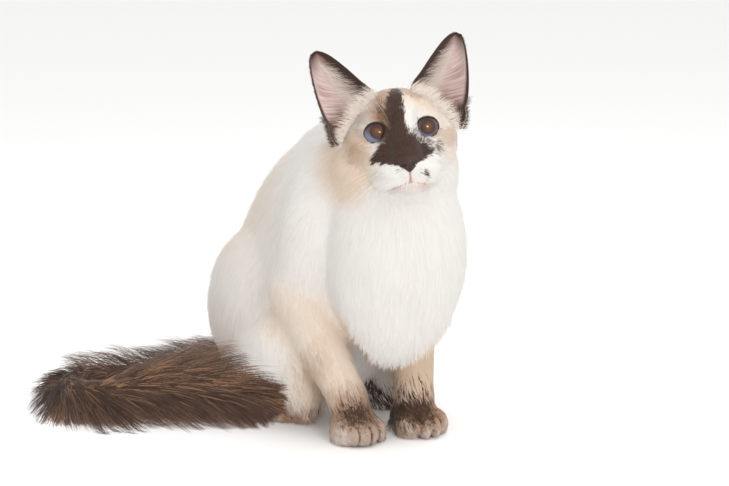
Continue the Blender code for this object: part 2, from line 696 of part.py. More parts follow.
def cleft_cutter():
    """The cleft from the nose down to the mouth."""
    places = [(0.0001 * k, NOSE_LOW_UP + (MOUTH_MIDDLE_UP - NOSE_LOW_UP) * k / 4) for k in range(5)]
    return groove("cleft", places, LIP_DEPTH * 0.55, [0.0009] * 5)


def nose_region(grow):
    """The leather of the nose: a block, wide above and narrow below."""
    outline = (
        (NOSE_HALF_TOP * 0.85, NOSE_TOP_UP), (NOSE_HALF_TOP, NOSE_TOP_UP - 0.0035), (NOSE_HALF_LOW, NOSE_LOW_UP),
        (-NOSE_HALF_LOW, NOSE_LOW_UP), (-NOSE_HALF_TOP, NOSE_TOP_UP - 0.0035), (-NOSE_HALF_TOP * 0.85, NOSE_TOP_UP),
    )
    middle = Vector((0, (NOSE_TOP_UP + NOSE_LOW_UP) / 2))
    rings = []
    for forward in (NOSE_BACK_FORWARD - grow, 0.040):
        ring = []
        for left, up in outline:
            aside = (Vector((left, up)) - middle).normalized() * grow
            ring.append(in_head(left + aside.x, forward, up + aside.y))
        rings.append(ring)
    return rings_to_object("region", rings)


def nostril_cutter(sign):
    """One nostril, a slanting pit."""
    left, up = NOSTRIL[0], NOSTRIL[2]
    place = Matrix.Translation(in_head(sign * left, front_of(left, up), up)) @ head_matrix().to_3x3().to_4x4()
    slant = Matrix.Rotation(sign * math.radians(28), 4, "Y")
    return ellipsoid("nostril", place @ slant, NOSTRIL_HALF, 2)


def tail_rows():
    """Stations along the tail: centre, direction of travel and coat radius, closely spaced."""
    rows = smooth_rows(TAIL_PATH, TAIL_STEPS)
    along = np.gradient(rows[:, :3], axis=0)
    return rows[:, :3], along / np.linalg.norm(along, axis=1)[:, None], rows[:, 3]


def tail_point(rows, place, angle, share):
    """A point of the tail's coat: its place along the path, its angle round the bone and its share of the depth."""
    centres, along, radii = rows
    last = len(centres) - 1
    step = min(place * TAIL_STEPS, last)
    low = min(int(step), last - 1)
    blend = step - low
    centre = Vector(centres[low] * (1 - blend) + centres[low + 1] * blend)
    direction = Vector(along[low] * (1 - blend) + along[low + 1] * blend).normalized()
    radius = float(radii[low] * (1 - blend) + radii[low + 1] * blend)
    centre += direction * max(place * TAIL_STEPS - last, 0) * TAIL_END_STEP
    side = direction.cross(Vector((0, 0, 1))).normalized()
    up = side.cross(direction).normalized()
    to_turn = Vector((*TAIL_TURN, centre.z)) - centre
    inner = min(radius, to_turn.length - TAIL_TURN_ROOM)
    aside = math.cos(angle)
    reach = inner if aside * side.dot(to_turn) > 0 else radius
    point = centre + share * (side * aside * reach + up * radius * math.sin(angle))
    return Vector((point.x, point.y, max(point.z, 0.0)))


def tail_core(rows, sides=12):
    """The dense core of the tail, half as deep as its coat."""
    rings = []
    for place in np.arange(0, len(TAIL_PATH) - 1 + 1e-9, 0.5):
        rings.append([tail_point(rows, place, 2 * math.pi * k / sides, TAIL_CORE) for k in range(sides)])
    return rings_to_object("tail_core", rings)


def tail_lock(rows, name, place, angle, reach, width, rise):
    """One flat lock of the plume: rooted in the core, it bends over and tapers to its tip along the tail."""
    rings = []
    root = TAIL_CORE * LOCK_ROOT
    for share, breadth, height in LOCK_SECTIONS:
        depth = root + (rise - root) * height
        turn = width * breadth / max(depth, TAIL_CORE * LOCK_ROOT)
        thick = LOCK_DEPTH * (1.15 - share)
        middle = angle + LOCK_SWAY * math.sin(7.0 * place + 3.0 * share)
        outline = ((-turn, -0.4 * thick), (0, -thick), (turn, -0.4 * thick), (0, 0.6 * thick))
        station = place + reach * share
        rings.append([tail_point(rows, station, middle + aside, depth + lift) for aside, lift in outline])
    tip = tail_point(rows, place + reach, angle + LOCK_SWAY * math.sin(7.0 * place + 3.0), rise)
    return rings_to_object(name, rings, (sum(rings[0], Vector()) / 4, tip))


def tail_locks(rows):
    """The plume's locks, in a collection of their own: they wind round the tail from its root to its tip."""
    draw = random.Random(11)
    locks = bpy.data.collections.new("locks")
    bpy.context.scene.collection.children.link(locks)
    last = len(TAIL_PATH) - 1.6
    for index in range(TAIL_LOCKS):
        place = TAIL_FIRST_LOCK + (last - TAIL_FIRST_LOCK) * index / (TAIL_LOCKS - 1)
        angle = index * GOLDEN_TURN + draw.uniform(-0.25, 0.25)
        reach = draw.uniform(*LOCK_REACH) * (0.85 if place > 9 else 1.0)
        width, rise = draw.uniform(*LOCK_WIDTH), draw.uniform(*LOCK_RISE)
        made = tail_lock(rows, f"lock_{index}", place, angle, reach, width, rise)
        bpy.context.scene.collection.objects.unlink(made)
        locks.objects.link(made)
    return locks


def tail():
    """The whole tail: its core with the plume's locks fused on, then parted into four lengths."""
    rows = tail_rows()
    core = tail_core(rows)
    locks = tail_locks(rows)
    step = core.modifiers.new("fuse", "BOOLEAN")
    step.solver = "EXACT"
    step.operation = "UNION"
    step.operand_type = "COLLECTION"
    step.collection = locks
    applied(core)
    for made in list(locks.objects):
        bpy.data.objects.remove(made)
    bpy.data.collections.remove(locks)
    tidied(core)
    tip = part_off(core, "tail_tip", box_region(*TAIL_TIP_BOX))
    bend = part_off(core, "tail_bend", half_space(Vector((TAIL_TIP_BOX[0][0], 0, 0)), Vector((-1, 0, 0))))
    middle = part_off(core, "tail_mid", half_space(Vector((TAIL_MID_X, 0, 0)), Vector((-1, 0, 0))))
    return {"tail_root": core, "tail_mid": middle, "tail_bend": bend, "tail_tip": tip}


def painted(obj, finish):
    """Gives an object its own Principled material."""
    colour, roughness = FINISHES[finish]
    material = bpy.data.materials.new(obj.name + "_finish")
    material.use_nodes = True
    shader = material.node_tree.nodes["Principled BSDF"]
    shader.inputs["Base Color"].default_value = (*colour, 1.0)
    shader.inputs["Roughness"].default_value = roughness
    shader.inputs["Metallic"].default_value = 0.0
    obj.data.materials.clear()
    obj.data.materials.append(material)
    return obj


def centred(nodes):
    """Moves all meshes so that the middle of the bottom of their common box is the origin."""
    points = np.array([vert.co for node in nodes for vert in node.data.vertices])
    low, high = points.min(axis=0), points.max(axis=0)
    shift = Matrix.Translation((-(low[0] + high[0]) / 2, -(low[1] + high[1]) / 2, -low[2]))
    for node in nodes:
        node.data.transform(shift)


def head_and_body():
    """The fine skin as two closed solids that meet at the top of the neck, each thinned to its budget."""
    masses = joined("masses", [
        trunk(),
        ellipsoid("chest_mass", Matrix.Translation(CHEST_CENTRE), CHEST_HALF, 4),
        ellipsoid("ruff_mass", Matrix.Translation(RUFF_CENTRE), RUFF_HALF, 4),
        chain("nape_mass", NAPE),
        *limbs(),
        head_mass(),
    ])
    forward, up = NECK_TOP
    point = in_head(0, forward, up)
    normal = (in_head(0, forward + NECK_TOP_NORMAL[0], up + NECK_TOP_NORMAL[1]) - point).normalized()
    body = cropped(fused(masses, VOXEL), point + normal * CROP_OVERLAP, -normal, BODY_TRIANGLES)
    head = cropped(fused(masses, HEAD_VOXEL), point - normal * CROP_OVERLAP, normal, HEAD_TRIANGLES)
    bpy.data.objects.remove(masses)
    boolean(body, half_space(point, -normal)(-PART_GAP / 2), "INTERSECT", weld=RIM_STEP)
    boolean(head, half_space(point, normal)(-PART_GAP / 2), "INTERSECT", weld=RIM_STEP)
    boolean(body, half_space(Vector(), Vector((0, 0, 1)))(0), "INTERSECT", weld=RIM_STEP)
    return head, body


def body_nodes(body):
    """Parts the body skin into legs, neck, chest and loin."""
    nodes = {}
    for side in ("right", "left"):
        x, y, _ = PAW_CENTRE[side]
        nodes["forepaw_" + side] = part_off(
            body, "forepaw_" + side, box_region((x - 0.0235, y - 0.040, -0.02), (x + 0.0235, y + 0.030, 0.0290))
        )
        inner, outer = (0.028, 0.100) if side == "left" else (-0.100, -0.028)
        nodes["hind_foot_" + side] = part_off(
            body, "hind_foot_" + side, box_region((inner, 0.034, -0.02), (outer, 0.220, 0.0290))
        )
        sleeve = [(*station[:3], station[3] + SLEEVE) for station in FOREARM[side]]
        nodes["forearm_" + side] = part_off(body, "forearm_" + side, sleeve_region(sleeve))
        for name, (depth, middle, half) in (("upper_arm_", UPPER_ARM_REGION), ("thigh_", THIGH_REGION)):
            nodes[name + side] = part_off(body, name + side, side_region(side, depth, middle, half))
    nodes["neck"] = part_off(body, "neck", half_space(*(Vector(v) for v in NECK_BASE)))
    nodes["chest"] = part_off(body, "chest", half_space(*(Vector(v) for v in LOIN_FRONT)))
    body.name = body.data.name = "loin"
    nodes["loin"] = body
    return nodes


def head_nodes(head, neck):
    """The head with its sockets, mouth and nose, with the ears and eyes that sit on it."""
    nodes = {"head": head}
    for side, sign in (("right", -1), ("left", 1)):
        made = ear(side)
        boolean(made, grown(head, PART_GAP), "DIFFERENCE")
        boolean(made, grown(neck, PART_GAP), "DIFFERENCE")
        nodes["ear_" + side] = made
    for side, sign in (("right", -1), ("left", 1)):
        boolean(head, opening_cutter(sign), "DIFFERENCE", weld=FINE_RIM_STEP)
        boolean(head, eyeball("socket", sign, EYE_RADIUS + PART_GAP), "DIFFERENCE", weld=FINE_RIM_STEP)
        nodes["eye_" + side] = eyeball("eye_" + side, sign, EYE_RADIUS)
    boolean(head, mouth_cutter(), "DIFFERENCE", weld=FINE_RIM_STEP)
    boolean(head, cleft_cutter(), "DIFFERENCE", weld=FINE_RIM_STEP)
    nose = part_off(head, "nose", nose_region, FINE_RIM_STEP)
    for sign in (-1, 1):
        boolean(nose, nostril_cutter(sign), "DIFFERENCE")
    nodes["nose"] = nose
    head.name = head.data.name = "head"
    return nodes


def main():
    """Builds the cat."""
    for obj in list(bpy.data.objects):
        bpy.data.objects.remove(obj)
    head, body = head_and_body()
    nodes = body_nodes(body)
    nodes.update(head_nodes(head, nodes["neck"]))
    nodes.update(tail())
    for name in ("tail_root", "tail_mid", "tail_tip"):
        for neighbour in ("loin", "thigh_right", "hind_foot_right"):
            boolean(nodes[name], grown(nodes[neighbour], PART_GAP), "DIFFERENCE")
    for name, node in nodes.items():
        node.name = node.data.name = name
        painted(node, NODE_FINISH.get(name, "white_coat"))
    centred(list(nodes.values()))


main()
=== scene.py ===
"""The looks of a seated Balinese cat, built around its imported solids.

One skin stands for the flesh nodes, and a coat of solid tufts grows from it along the lie of the fur. Eyes,
lids, ears, nose leather and whiskers are pieces of their own. Lengths are metres in the frame of the solids,
apart from those in tables, which are millimetres so that they stay short.
"""

import json
import logging
import math
from collections.abc import Callable
from dataclasses import dataclass
from enum import Enum

import bmesh
import bpy
import numpy as np
from mathutils import Matrix, Vector

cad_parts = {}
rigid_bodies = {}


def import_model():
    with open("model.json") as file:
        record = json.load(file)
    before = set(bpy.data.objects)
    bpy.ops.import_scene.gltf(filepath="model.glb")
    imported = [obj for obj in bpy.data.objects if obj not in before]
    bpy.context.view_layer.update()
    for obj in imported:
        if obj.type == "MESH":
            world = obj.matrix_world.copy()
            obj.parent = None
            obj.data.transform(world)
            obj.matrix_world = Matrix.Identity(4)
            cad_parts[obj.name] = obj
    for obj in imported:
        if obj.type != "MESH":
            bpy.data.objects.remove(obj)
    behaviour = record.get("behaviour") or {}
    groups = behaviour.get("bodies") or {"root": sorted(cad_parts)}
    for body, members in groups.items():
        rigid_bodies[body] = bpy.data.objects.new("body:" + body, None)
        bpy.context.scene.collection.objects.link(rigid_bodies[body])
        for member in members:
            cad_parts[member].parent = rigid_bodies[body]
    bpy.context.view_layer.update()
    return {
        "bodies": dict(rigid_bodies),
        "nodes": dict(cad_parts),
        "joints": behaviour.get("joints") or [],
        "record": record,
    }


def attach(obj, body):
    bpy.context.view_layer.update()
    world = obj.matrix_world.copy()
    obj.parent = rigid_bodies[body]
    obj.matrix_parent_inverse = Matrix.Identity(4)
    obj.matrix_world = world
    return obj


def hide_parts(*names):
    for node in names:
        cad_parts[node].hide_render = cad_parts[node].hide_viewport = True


log = logging.getLogger("cat")
Rows = np.ndarray
Surface = tuple[Rows, Rows]
Pair = tuple[float, float]
Triple = tuple[float, float, float]
MM = 0.001
UP = np.array((0.0, 0.0, 1.0))

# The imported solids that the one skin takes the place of.
FLESH_NODES = (
    "head", "neck", "chest", "loin", "upper_arm_left", "upper_arm_right", "forearm_left", "forearm_right",
    "forepaw_left", "forepaw_right", "thigh_left", "thigh_right", "hind_foot_left", "hind_foot_right",
)
TAIL_NODES = ("tail_root", "tail_mid", "tail_bend", "tail_tip")


class Side(Enum):
    """The cat's own left and right, with the sign of the left axis there."""

    LEFT = 1
    RIGHT = -1

    @property
    def word(self) -> str:
        """The side's name as node names spell it."""
        return self.name.lower()


class Channel(Enum):
    """The four colour masks that skin and coat carry."""

    SEAL = 0
    TAN = 1
    CREAM = 2
    PINK = 3


SEAL, TAN, CREAM, PINK = Channel


# Number helpers


def unit(rows: Rows) -> Rows:
    """Rows scaled to length one."""
    return rows / np.maximum(np.linalg.norm(rows, axis=-1, keepdims=True), 1e-12)


def ramp(values: Rows, low: float, high: float) -> Rows:
    """A smooth rise from 0 at low to 1 at high: three times the square less twice the cube."""
    t = np.clip((values - low) / (high - low), 0, 1)
    return t * t * (3 - 2 * t)


def smooth_rows(rows: Rows, per_span: int) -> Rows:
    """Rows of numbers joined by a Catmull-Rom curve.

    Args:
        rows: The stations, one a row.
        per_span: Steps between one station and the next.

    Returns:
        The rows of the smooth curve, ends included.
    """
    rows = np.asarray(rows, float)
    padded = np.vstack((2 * rows[0] - rows[1], rows, 2 * rows[-1] - rows[-2]))
    steps = np.append(np.arange(0, len(rows) - 1, 1 / per_span), len(rows) - 1 - 1e-9)
    span = np.floor(steps).astype(int)
    t = (steps - span)[:, None]
    a, b, c, d = (padded[span + k] for k in range(4))
    return 0.5 * (2 * b + (c - a) * t + (2 * a - 5 * b + 4 * c - d) * t**2 + (3 * b - a - 3 * c + d) * t**3)


def waves(points: Rows, size: float, seed: int, count: int = 7) -> Rows:
    """A smooth unevenness between about -1 and 1: a sum of sine waves of one length in seeded directions.

    Args:
        points: Places, one a row.
        size: The waves' length.
        seed: Which set of waves.
        count: How many waves are summed.

    Returns:
        One value a place.
    """
    draw = np.random.default_rng(seed)
    directions = unit(draw.normal(size=(count, points.shape[1]))) * draw.uniform(0.7, 1.5, (count, 1))
    phases = draw.uniform(0, 2 * math.pi, count)
    return np.sin(points @ directions.T * (2 * math.pi / size) + phases).sum(axis=1) / math.sqrt(count) / 1.2


def bell(distance: Rows, width: float) -> Rows:
    """A bell curve: e to the power of less the square of distance over width."""
    return np.exp(-np.square(distance / width))


def square_distances(points: Rows, places: Rows) -> Rows:
    """The square of the distance from each point to each place: both squares less twice the product."""
    return (points**2).sum(1)[:, None] - 2 * points @ places.T + (places**2).sum(1)[None]


def in_chunks(
    function: Callable[..., tuple[Rows, ...]], *arrays: Rows, size: int = 20000
) -> tuple[Rows, ...]:
    """A function of rows applied to a few thousand rows at a time.

    Args:
        function: Takes arrays of rows and gives a tuple of arrays.
        *arrays: Arrays of one length.
        size: The most rows taken at a time.

    Returns:
        The function's results, each joined over all rows.
    """
    results = [
        function(*(array[start:start + size] for array in arrays)) for start in range(0, len(arrays[0]), size)
    ]
    return tuple(np.concatenate(column) for column in zip(*results))


def carried(matrix: Matrix, rows: Rows) -> Rows:
    """Places carried by a matrix."""
    array = np.array(matrix)
    return rows @ array[:3, :3].T + array[:3, 3]


# Mesh helpers


def linked(name: str, mesh: bpy.types.Mesh) -> bpy.types.Object:
    """A new object in the scene with the mesh given."""
    made = bpy.data.objects.new(name, mesh)
    bpy.context.scene.collection.objects.link(made)
    return made


def triangle_mesh(name: str, points: Rows, triangles: Rows) -> bpy.types.Mesh:
    """A mesh from arrays of points and of triangles."""
    mesh = bpy.data.meshes.new(name)
    mesh.vertices.add(len(points))
    mesh.vertices.foreach_set("co", points.astype(np.float32).ravel())
    mesh.loops.add(triangles.size)
    mesh.loops.foreach_set("vertex_index", triangles.astype(np.int32).ravel())
    mesh.polygons.add(len(triangles))
    mesh.polygons.foreach_set("loop_start", np.arange(0, triangles.size, 3, dtype=np.int32))
    mesh.update(calc_edges=True)
    mesh.shade_smooth()
    return mesh


def new_piece(name: str, points: Rows, triangles: Rows) -> bpy.types.Object:
    """A new object in the scene from arrays of points and of triangles."""
    return linked(name, triangle_mesh(name, points, triangles))


def grid_triangles(rows: int, columns: int, around: bool = False, start: int = 0) -> Rows:
    """The triangles of a grid of points counted row by row.

    Args:
        rows: Points along the first parameter.
        columns: Points along the second.
        around: Whether the second parameter closes on itself.
        start: The number of the grid's first point.

    Returns:
        Triangles, two a cell.
    """
    i, j = np.meshgrid(np.arange(rows - 1), np.arange(columns if around else columns - 1), indexing="ij")
    k = (j + 1) % columns
    a, b, c, d = i * columns + j, i * columns + k, (i + 1) * columns + k, (i + 1) * columns + j
    cells = np.stack((a, b, c, a, c, d), axis=-1).reshape(-1, 3)
    return cells + start


def shell(front: Rows, back: Rows) -> Surface:
    """A closed wall between two grids of points of the same shape.

    Args:
        front: Points of the front, rows by columns by three.
        back: Points of the back.

    Returns:
        The points, and the triangles with their faces out.
    """
    rows, columns = front.shape[:2]
    count = rows * columns
    border = np.concatenate((
        np.arange(columns), np.arange(2 * columns - 1, count, columns),
        np.arange(count - 2, count - columns - 1, -1), np.arange(count - 2 * columns, 0, -columns),
    ))
    ahead = np.roll(border, -1)
    rim = np.concatenate((
        np.stack((border, border + count, ahead + count), axis=1),
        np.stack((border, ahead + count, ahead), axis=1),
    ))
    ends = grid_triangles(rows, columns), grid_triangles(rows, columns, start=count)[:, ::-1]
    faces = np.concatenate((*ends, rim))
    points = np.concatenate((front.reshape(-1, 3), back.reshape(-1, 3)))
    return points, outward(points, faces)


def outward(points: Rows, faces: Rows) -> Rows:
    """The triangles of a closed surface, turned so that they face out: its signed volume is above zero."""
    a, b, c = (points[faces[:, k]] for k in range(3))
    return faces if (np.cross(a, b) * c).sum() > 0 else faces[:, ::-1]


def pole_fans(rows: int, sides: int) -> Rows:
    """The triangles that close a round grid, a fan at each end to one of two points stored after the grid."""
    first, last = np.arange(sides), (rows - 1) * sides + np.arange(sides)
    return np.concatenate((
        np.stack((np.roll(first, -1), first, np.full(sides, rows * sides)), 1),
        np.stack((last, np.roll(last, -1), np.full(sides, rows * sides + 1)), 1),
    ))


def tube(path: Rows, radii: Rows, sides: int, closed: bool = False) -> Surface:
    """A round profile carried along a path.

    Args:
        path: Places of the centre line.
        radii: The radius at each place.
        sides: Points round the profile.
        closed: Whether the path is a loop.

    Returns:
        Points and triangles, with a fan on each open end.
    """
    ahead = np.roll(path, -1, axis=0) - np.roll(path, 1, axis=0) if closed else np.gradient(path, axis=0)
    along = unit(ahead)
    guide = (0.13, 0.31, 0.94) if abs(along[:, 2]).mean() < 0.8 else (0.9, 0.3, 0.1)
    across = unit(np.cross(along, guide))
    other = np.cross(along, across)
    angle = np.linspace(0, 2 * math.pi, sides, endpoint=False)
    ring = across[:, None] * np.cos(angle)[None, :, None] + other[:, None] * np.sin(angle)[None, :, None]
    points = (path[:, None] + ring * radii[:, None, None]).reshape(-1, 3)
    faces = grid_triangles(len(path), sides, around=True)
    if closed:
        a, d = (len(path) - 1) * sides + np.arange(sides), np.arange(sides)
        b, c = np.roll(a, -1), np.roll(d, -1)
        walls = np.stack((a, b, c), 1), np.stack((a, c, d), 1)
        return points, outward(points, np.concatenate((faces, *walls)))
    points = np.concatenate((points, path[:1], path[-1:]))
    return points, outward(points, np.concatenate((faces, pole_fans(len(path), sides))))


def joined(parts: list[Surface]) -> Surface:
    """Several meshes' arrays as one."""
    starts = np.cumsum([0] + [len(points) for points, _ in parts[:-1]])
    return np.concatenate([p for p, _ in parts]), np.concatenate([f + s for (_, f), s in zip(parts, starts)])


def give(mesh: bpy.types.Mesh, name: str, values: Rows) -> None:
    """Stores one number, a vector or a colour at each point of a mesh."""
    width = 1 if values.ndim == 1 else values.shape[1]
    kind, key = {1: ("FLOAT", "value"), 3: ("FLOAT_VECTOR", "vector"), 4: ("FLOAT_COLOR", "color")}[width]
    mesh.attributes.new(name, kind, "POINT").data.foreach_set(key, values.astype(np.float32).ravel())


def point_array(mesh: bpy.types.Mesh) -> Rows:
    """The mesh's points as an array."""
    points = np.empty(len(mesh.vertices) * 3, np.float32)
    mesh.vertices.foreach_get("co", points)
    return points.reshape(-1, 3).astype(float)


def edge_array(mesh: bpy.types.Mesh) -> Rows:
    """The two ends of each of the mesh's edges."""
    ends = np.empty(len(mesh.edges) * 2, np.int32)
    mesh.edges.foreach_get("vertices", ends)
    return ends.reshape(-1, 2)


def arrays_of(mesh: bpy.types.Mesh) -> Surface:
    """A mesh's points and triangles."""
    mesh.calc_loop_triangles()
    faces = np.empty(len(mesh.loop_triangles) * 3, np.int32)
    mesh.loop_triangles.foreach_get("vertices", faces)
    return point_array(mesh), faces.reshape(-1, 3)


def arrays_from(work: bmesh.types.BMesh) -> Surface:
    """The points and triangles of a mesh under construction, which is then freed."""
    mesh = bpy.data.meshes.new("work")
    work.to_mesh(mesh)
    work.free()
    points, faces = arrays_of(mesh)
    bpy.data.meshes.remove(mesh)
    return points, faces


def with_modifiers(obj: bpy.types.Object) -> bpy.types.Mesh:
    """A new mesh of the object with its modifiers applied."""
    graph = bpy.context.evaluated_depsgraph_get()
    return bpy.data.meshes.new_from_object(obj.evaluated_get(graph))


def vertex_normals(points: Rows, faces: Rows) -> Rows:
    """Normals at points: the sum of the normals of the triangles there, by area."""
    a, b, c = (points[faces[:, k]] for k in range(3))
    normals = np.cross(b - a, c - a)
    total = np.stack([
        sum(np.bincount(faces[:, k], normals[:, axis], len(points)) for k in range(3)) for axis in range(3)
    ], axis=1)
    return unit(total)


def eased(points: Rows, edges: Rows, share: Rows, rounds: int) -> Rows:
    """Points moved towards the mean of their neighbours.

    Args:
        points: The points, one a row.
        edges: Pairs of neighbours.
        share: How far each point moves in a round, from 0 to 1.
        rounds: How often all points move.

    Returns:
        The moved points.
    """
    start, end = np.concatenate((edges, edges[:, ::-1])).T
    degree = np.maximum(np.bincount(start, minlength=len(points)), 1)
    for _ in range(rounds):
        columns = [np.bincount(start, column[end], len(points)) / degree for column in points.T]
        points = points + (np.stack(columns, axis=1) - points) * share[:, None]
    return points


# The head: its frame, its surface and its marks


@dataclass(frozen=True)
class HeadFrame:
    """The head's own frame: origin midway between the eyes, axes left, forward and up."""

    origin: Triple = (-0.0025, -0.022, 0.2485)
    yaw: float = math.radians(-27.0)
    pitch: float = math.radians(11.0)
    roll: float = math.radians(-7.0)
    shift: Triple = (0.0, 0.0, 0.0)
    to_axes: Triple = (1.0, -1.0, 1.0)

    @property
    def matrix(self) -> Matrix:
        """Its matrix, whose columns are left, back and up."""
        turn = Matrix.Rotation(self.yaw, 4, "Z") @ Matrix.Rotation(-self.pitch, 4, "X")
        place = Matrix.Translation(Vector(self.origin) + Vector(self.shift))
        return place @ turn @ Matrix.Rotation(self.roll, 4, "Y")

    def out(self, local: Rows) -> Rows:
        """Places of the head frame, (left, forward, up), in the frame of the solids."""
        return carried(self.matrix, (local * self.to_axes).reshape(-1, 3)).reshape(np.shape(local))

    def turned(self, local: Rows) -> Rows:
        """Directions of the head frame, in the frame of the solids."""
        return (local * self.to_axes) @ np.array(self.matrix)[:3, :3].T

    def into(self, points: Rows) -> Rows:
        """Places of the solids' frame as (left, forward, up)."""
        return carried(self.matrix.inverted(), points) * self.to_axes


@dataclass(frozen=True)
class Eye:
    """One eye: its place in the head frame, its ball and the dark rim of its lids."""

    head: HeadFrame
    side: Side
    depth: float = -0.0074
    solid_depth: float = -0.0065
    radius: float = 0.0114
    half_wide: float = 0.0094
    half_tall: float = 0.0081
    splay: float = math.radians(8)
    near: float = 0.020
    rim_oval: float = 1.015
    rim_thick: float = 0.00048
    corner_out: float = 0.0016
    corner_down: float = 0.0008

    @property
    def aside(self) -> float:
        """How far the ball's middle lies from the middle of the head; the face is not quite even."""
        return 0.0178 if self.side is Side.RIGHT else 0.0196

    @property
    def above(self) -> float:
        """How far the ball's middle lies over the middle of the head frame."""
        return -0.0004 if self.side is Side.RIGHT else -0.0012

    @property
    def pupil(self) -> Triple:
        """How far the pupil lies from the middle of the opening, as shares of the ball's radius."""
        return (0.10, 0.10, 0.0) if self.side is Side.RIGHT else (0.0, 0.03, 0.0)

    @property
    def matrix(self) -> Matrix:
        """The eye's frame: the third axis looks out of the opening, the second points up."""
        sign = self.side.value
        gaze = Matrix.Rotation(math.pi / 2, 4, "X") @ Matrix.Rotation(sign * self.splay, 4, "Y")
        return self.head.matrix @ Matrix.Translation((sign * self.aside, -self.depth, self.above)) @ gaze

    def out(self, local: Rows) -> Rows:
        """Places of the eye's frame in the frame of the solids."""
        return carried(self.matrix, local)

    def into(self, points: Rows) -> Rows:
        """Places of the solids' frame in the eye's frame."""
        return carried(self.matrix.inverted(), points)

    def openness(self, local: Rows) -> Rows:
        """How far out a place lies across the opening: 1 on its oval rim, less inside it."""
        spread = np.hypot(local[:, 0] / self.half_wide, local[:, 1] / self.half_tall)
        return np.where(local[:, 2] > 0, spread, 9.0)

    def ball(self, rows: int = 49, columns: int = 64) -> bpy.types.Object:
        """The eyeball: a sphere by angle from its gaze and angle round it, with its own directions stored.

        Args:
            rows: Points from the front of the ball to its back.
            columns: Points round it.

        Returns:
            The ball, with each point's direction from its middle and from the pupil's.
        """
        away = np.linspace(0.02, math.pi - 0.02, rows)[:, None]
        angle = np.linspace(0, 2 * math.pi, columns, endpoint=False)[None]
        x, y, z = np.sin(away) * np.cos(angle), np.sin(away) * np.sin(angle), np.cos(away) + 0 * angle
        local = np.concatenate((np.stack((x, y, z), axis=-1).reshape(-1, 3), [UP, -UP]))
        faces = np.concatenate((grid_triangles(rows, columns, around=True), pole_fans(rows, columns)))
        points = self.out(local * self.radius)
        made = new_piece("eyeball_" + self.side.word, points, outward(points, faces))
        give(made.data, "gaze", local)
        give(made.data, "pupil", local - self.pupil)
        return made

    def rim(self) -> bpy.types.Object:
        """The rim of the lids: a tube round the oval opening, on the ball, drawn out at the inner corner."""
        angle = np.linspace(0, 2 * math.pi, 96, endpoint=False)
        x, y = np.cos(angle) * self.half_wide * self.rim_oval, np.sin(angle) * self.half_tall * self.rim_oval
        inner = ramp(-x * self.side.value / self.half_wide, 0.80, 1.0)
        x = x - self.side.value * inner * self.corner_out
        y = y - inner * self.corner_down
        sphere = self.radius + 0.0003
        z = np.sqrt(np.maximum(sphere**2 - x**2 - y**2, 1e-9)) + 0.0001
        radii = self.rim_thick + self.rim_thick / 3 * np.sin(angle) + 0.0002 * inner
        points, faces = tube(np.stack((x, y, z), axis=1), radii, 10, closed=True)
        return new_piece("lid_rim_" + self.side.word, self.out(points), faces)


@dataclass(frozen=True)
class HeadShape:
    """The head as a soft union of ellipsoids: left, forward, up, three half axes, doubled off the middle."""

    blend: float = 0.0032
    middle: Triple = (0.0, -0.022, -0.008)
    # The first mass is the lids'.
    masses: tuple[tuple[float, ...], ...] = (
        (20.8, -6.5, 0, 11.9, 11.9, 11.9),
        (0, -30, 3, 34, 34, 29.5),
        (0, -11, 5, 27, 16, 22),
        (24, -21, -11, 19.5, 23.5, 21.5),
        (16, -4, -24, 14, 16, 13),
        (0, 0, 0, 9.8, 9.8, 12),
        (0, 8, -9, 9.2, 9.5, 11),
        (0, 13.5, -17.5, 8.6, 9.2, 10),
        (0, 18.5, -25.5, 8, 8.5, 7.5),
        (11.2, 10.5, -34.5, 13.8, 13.8, 9.2),
        (0, 8.5, -42.8, 10, 10.5, 7.8),
        (0, -3, -40, 16.5, 17, 9.5),
        (0, -14, -33, 24, 25, 15.5),
    )

    def distance(self, points: Rows) -> Rows:
        """About how far places lie outside the head: less the blend times the log of the masses' summed falls."""
        rows = []
        for left, forward, up, *half in np.array(self.masses) * MM:
            for sign in (1, -1) if left else (1,):
                offset = points - (sign * left, forward, up)
                near = np.linalg.norm(offset / half, axis=1)
                steep = np.linalg.norm(offset / np.square(half), axis=1)
                rows.append(near * (near - 1) / np.maximum(steep, 1e-9))
        rows = np.array(rows)
        lowest = rows.min(axis=0)
        return lowest - self.blend * np.log(np.exp((lowest - rows) / self.blend).sum(axis=0))

    def reach(self, starts: Rows, directions: Rows, longest: float = 0.08) -> Rows:
        """How far each ray goes from inside the head to its surface, by halving."""
        low, high = np.zeros(len(starts)), np.full(len(starts), longest)
        for _ in range(20):
            middle = (low + high) / 2
            inside = self.distance(starts + directions * middle[:, None]) < 0
            low, high = np.where(inside, middle, low), np.where(inside, high, middle)
        return low

    def front(self, left: Rows, up: Rows) -> Rows:
        """How far forward the face reaches at places seen from its front."""
        starts = np.stack((left, np.full_like(left, -0.010), up), axis=-1).reshape(-1, 3)
        directions = np.tile((0.0, 1.0, 0.0), (len(starts), 1))
        return (self.reach(starts, directions, 0.05) - 0.010).reshape(np.shape(left))

    def snapped(self, local: Rows) -> Rows:
        """Places moved along rays from the head's middle onto its surface."""
        offset = local - self.middle
        directions = unit(offset)
        reach = self.reach(np.tile(self.middle, (len(local), 1)), directions)
        return self.middle + directions * reach[:, None]


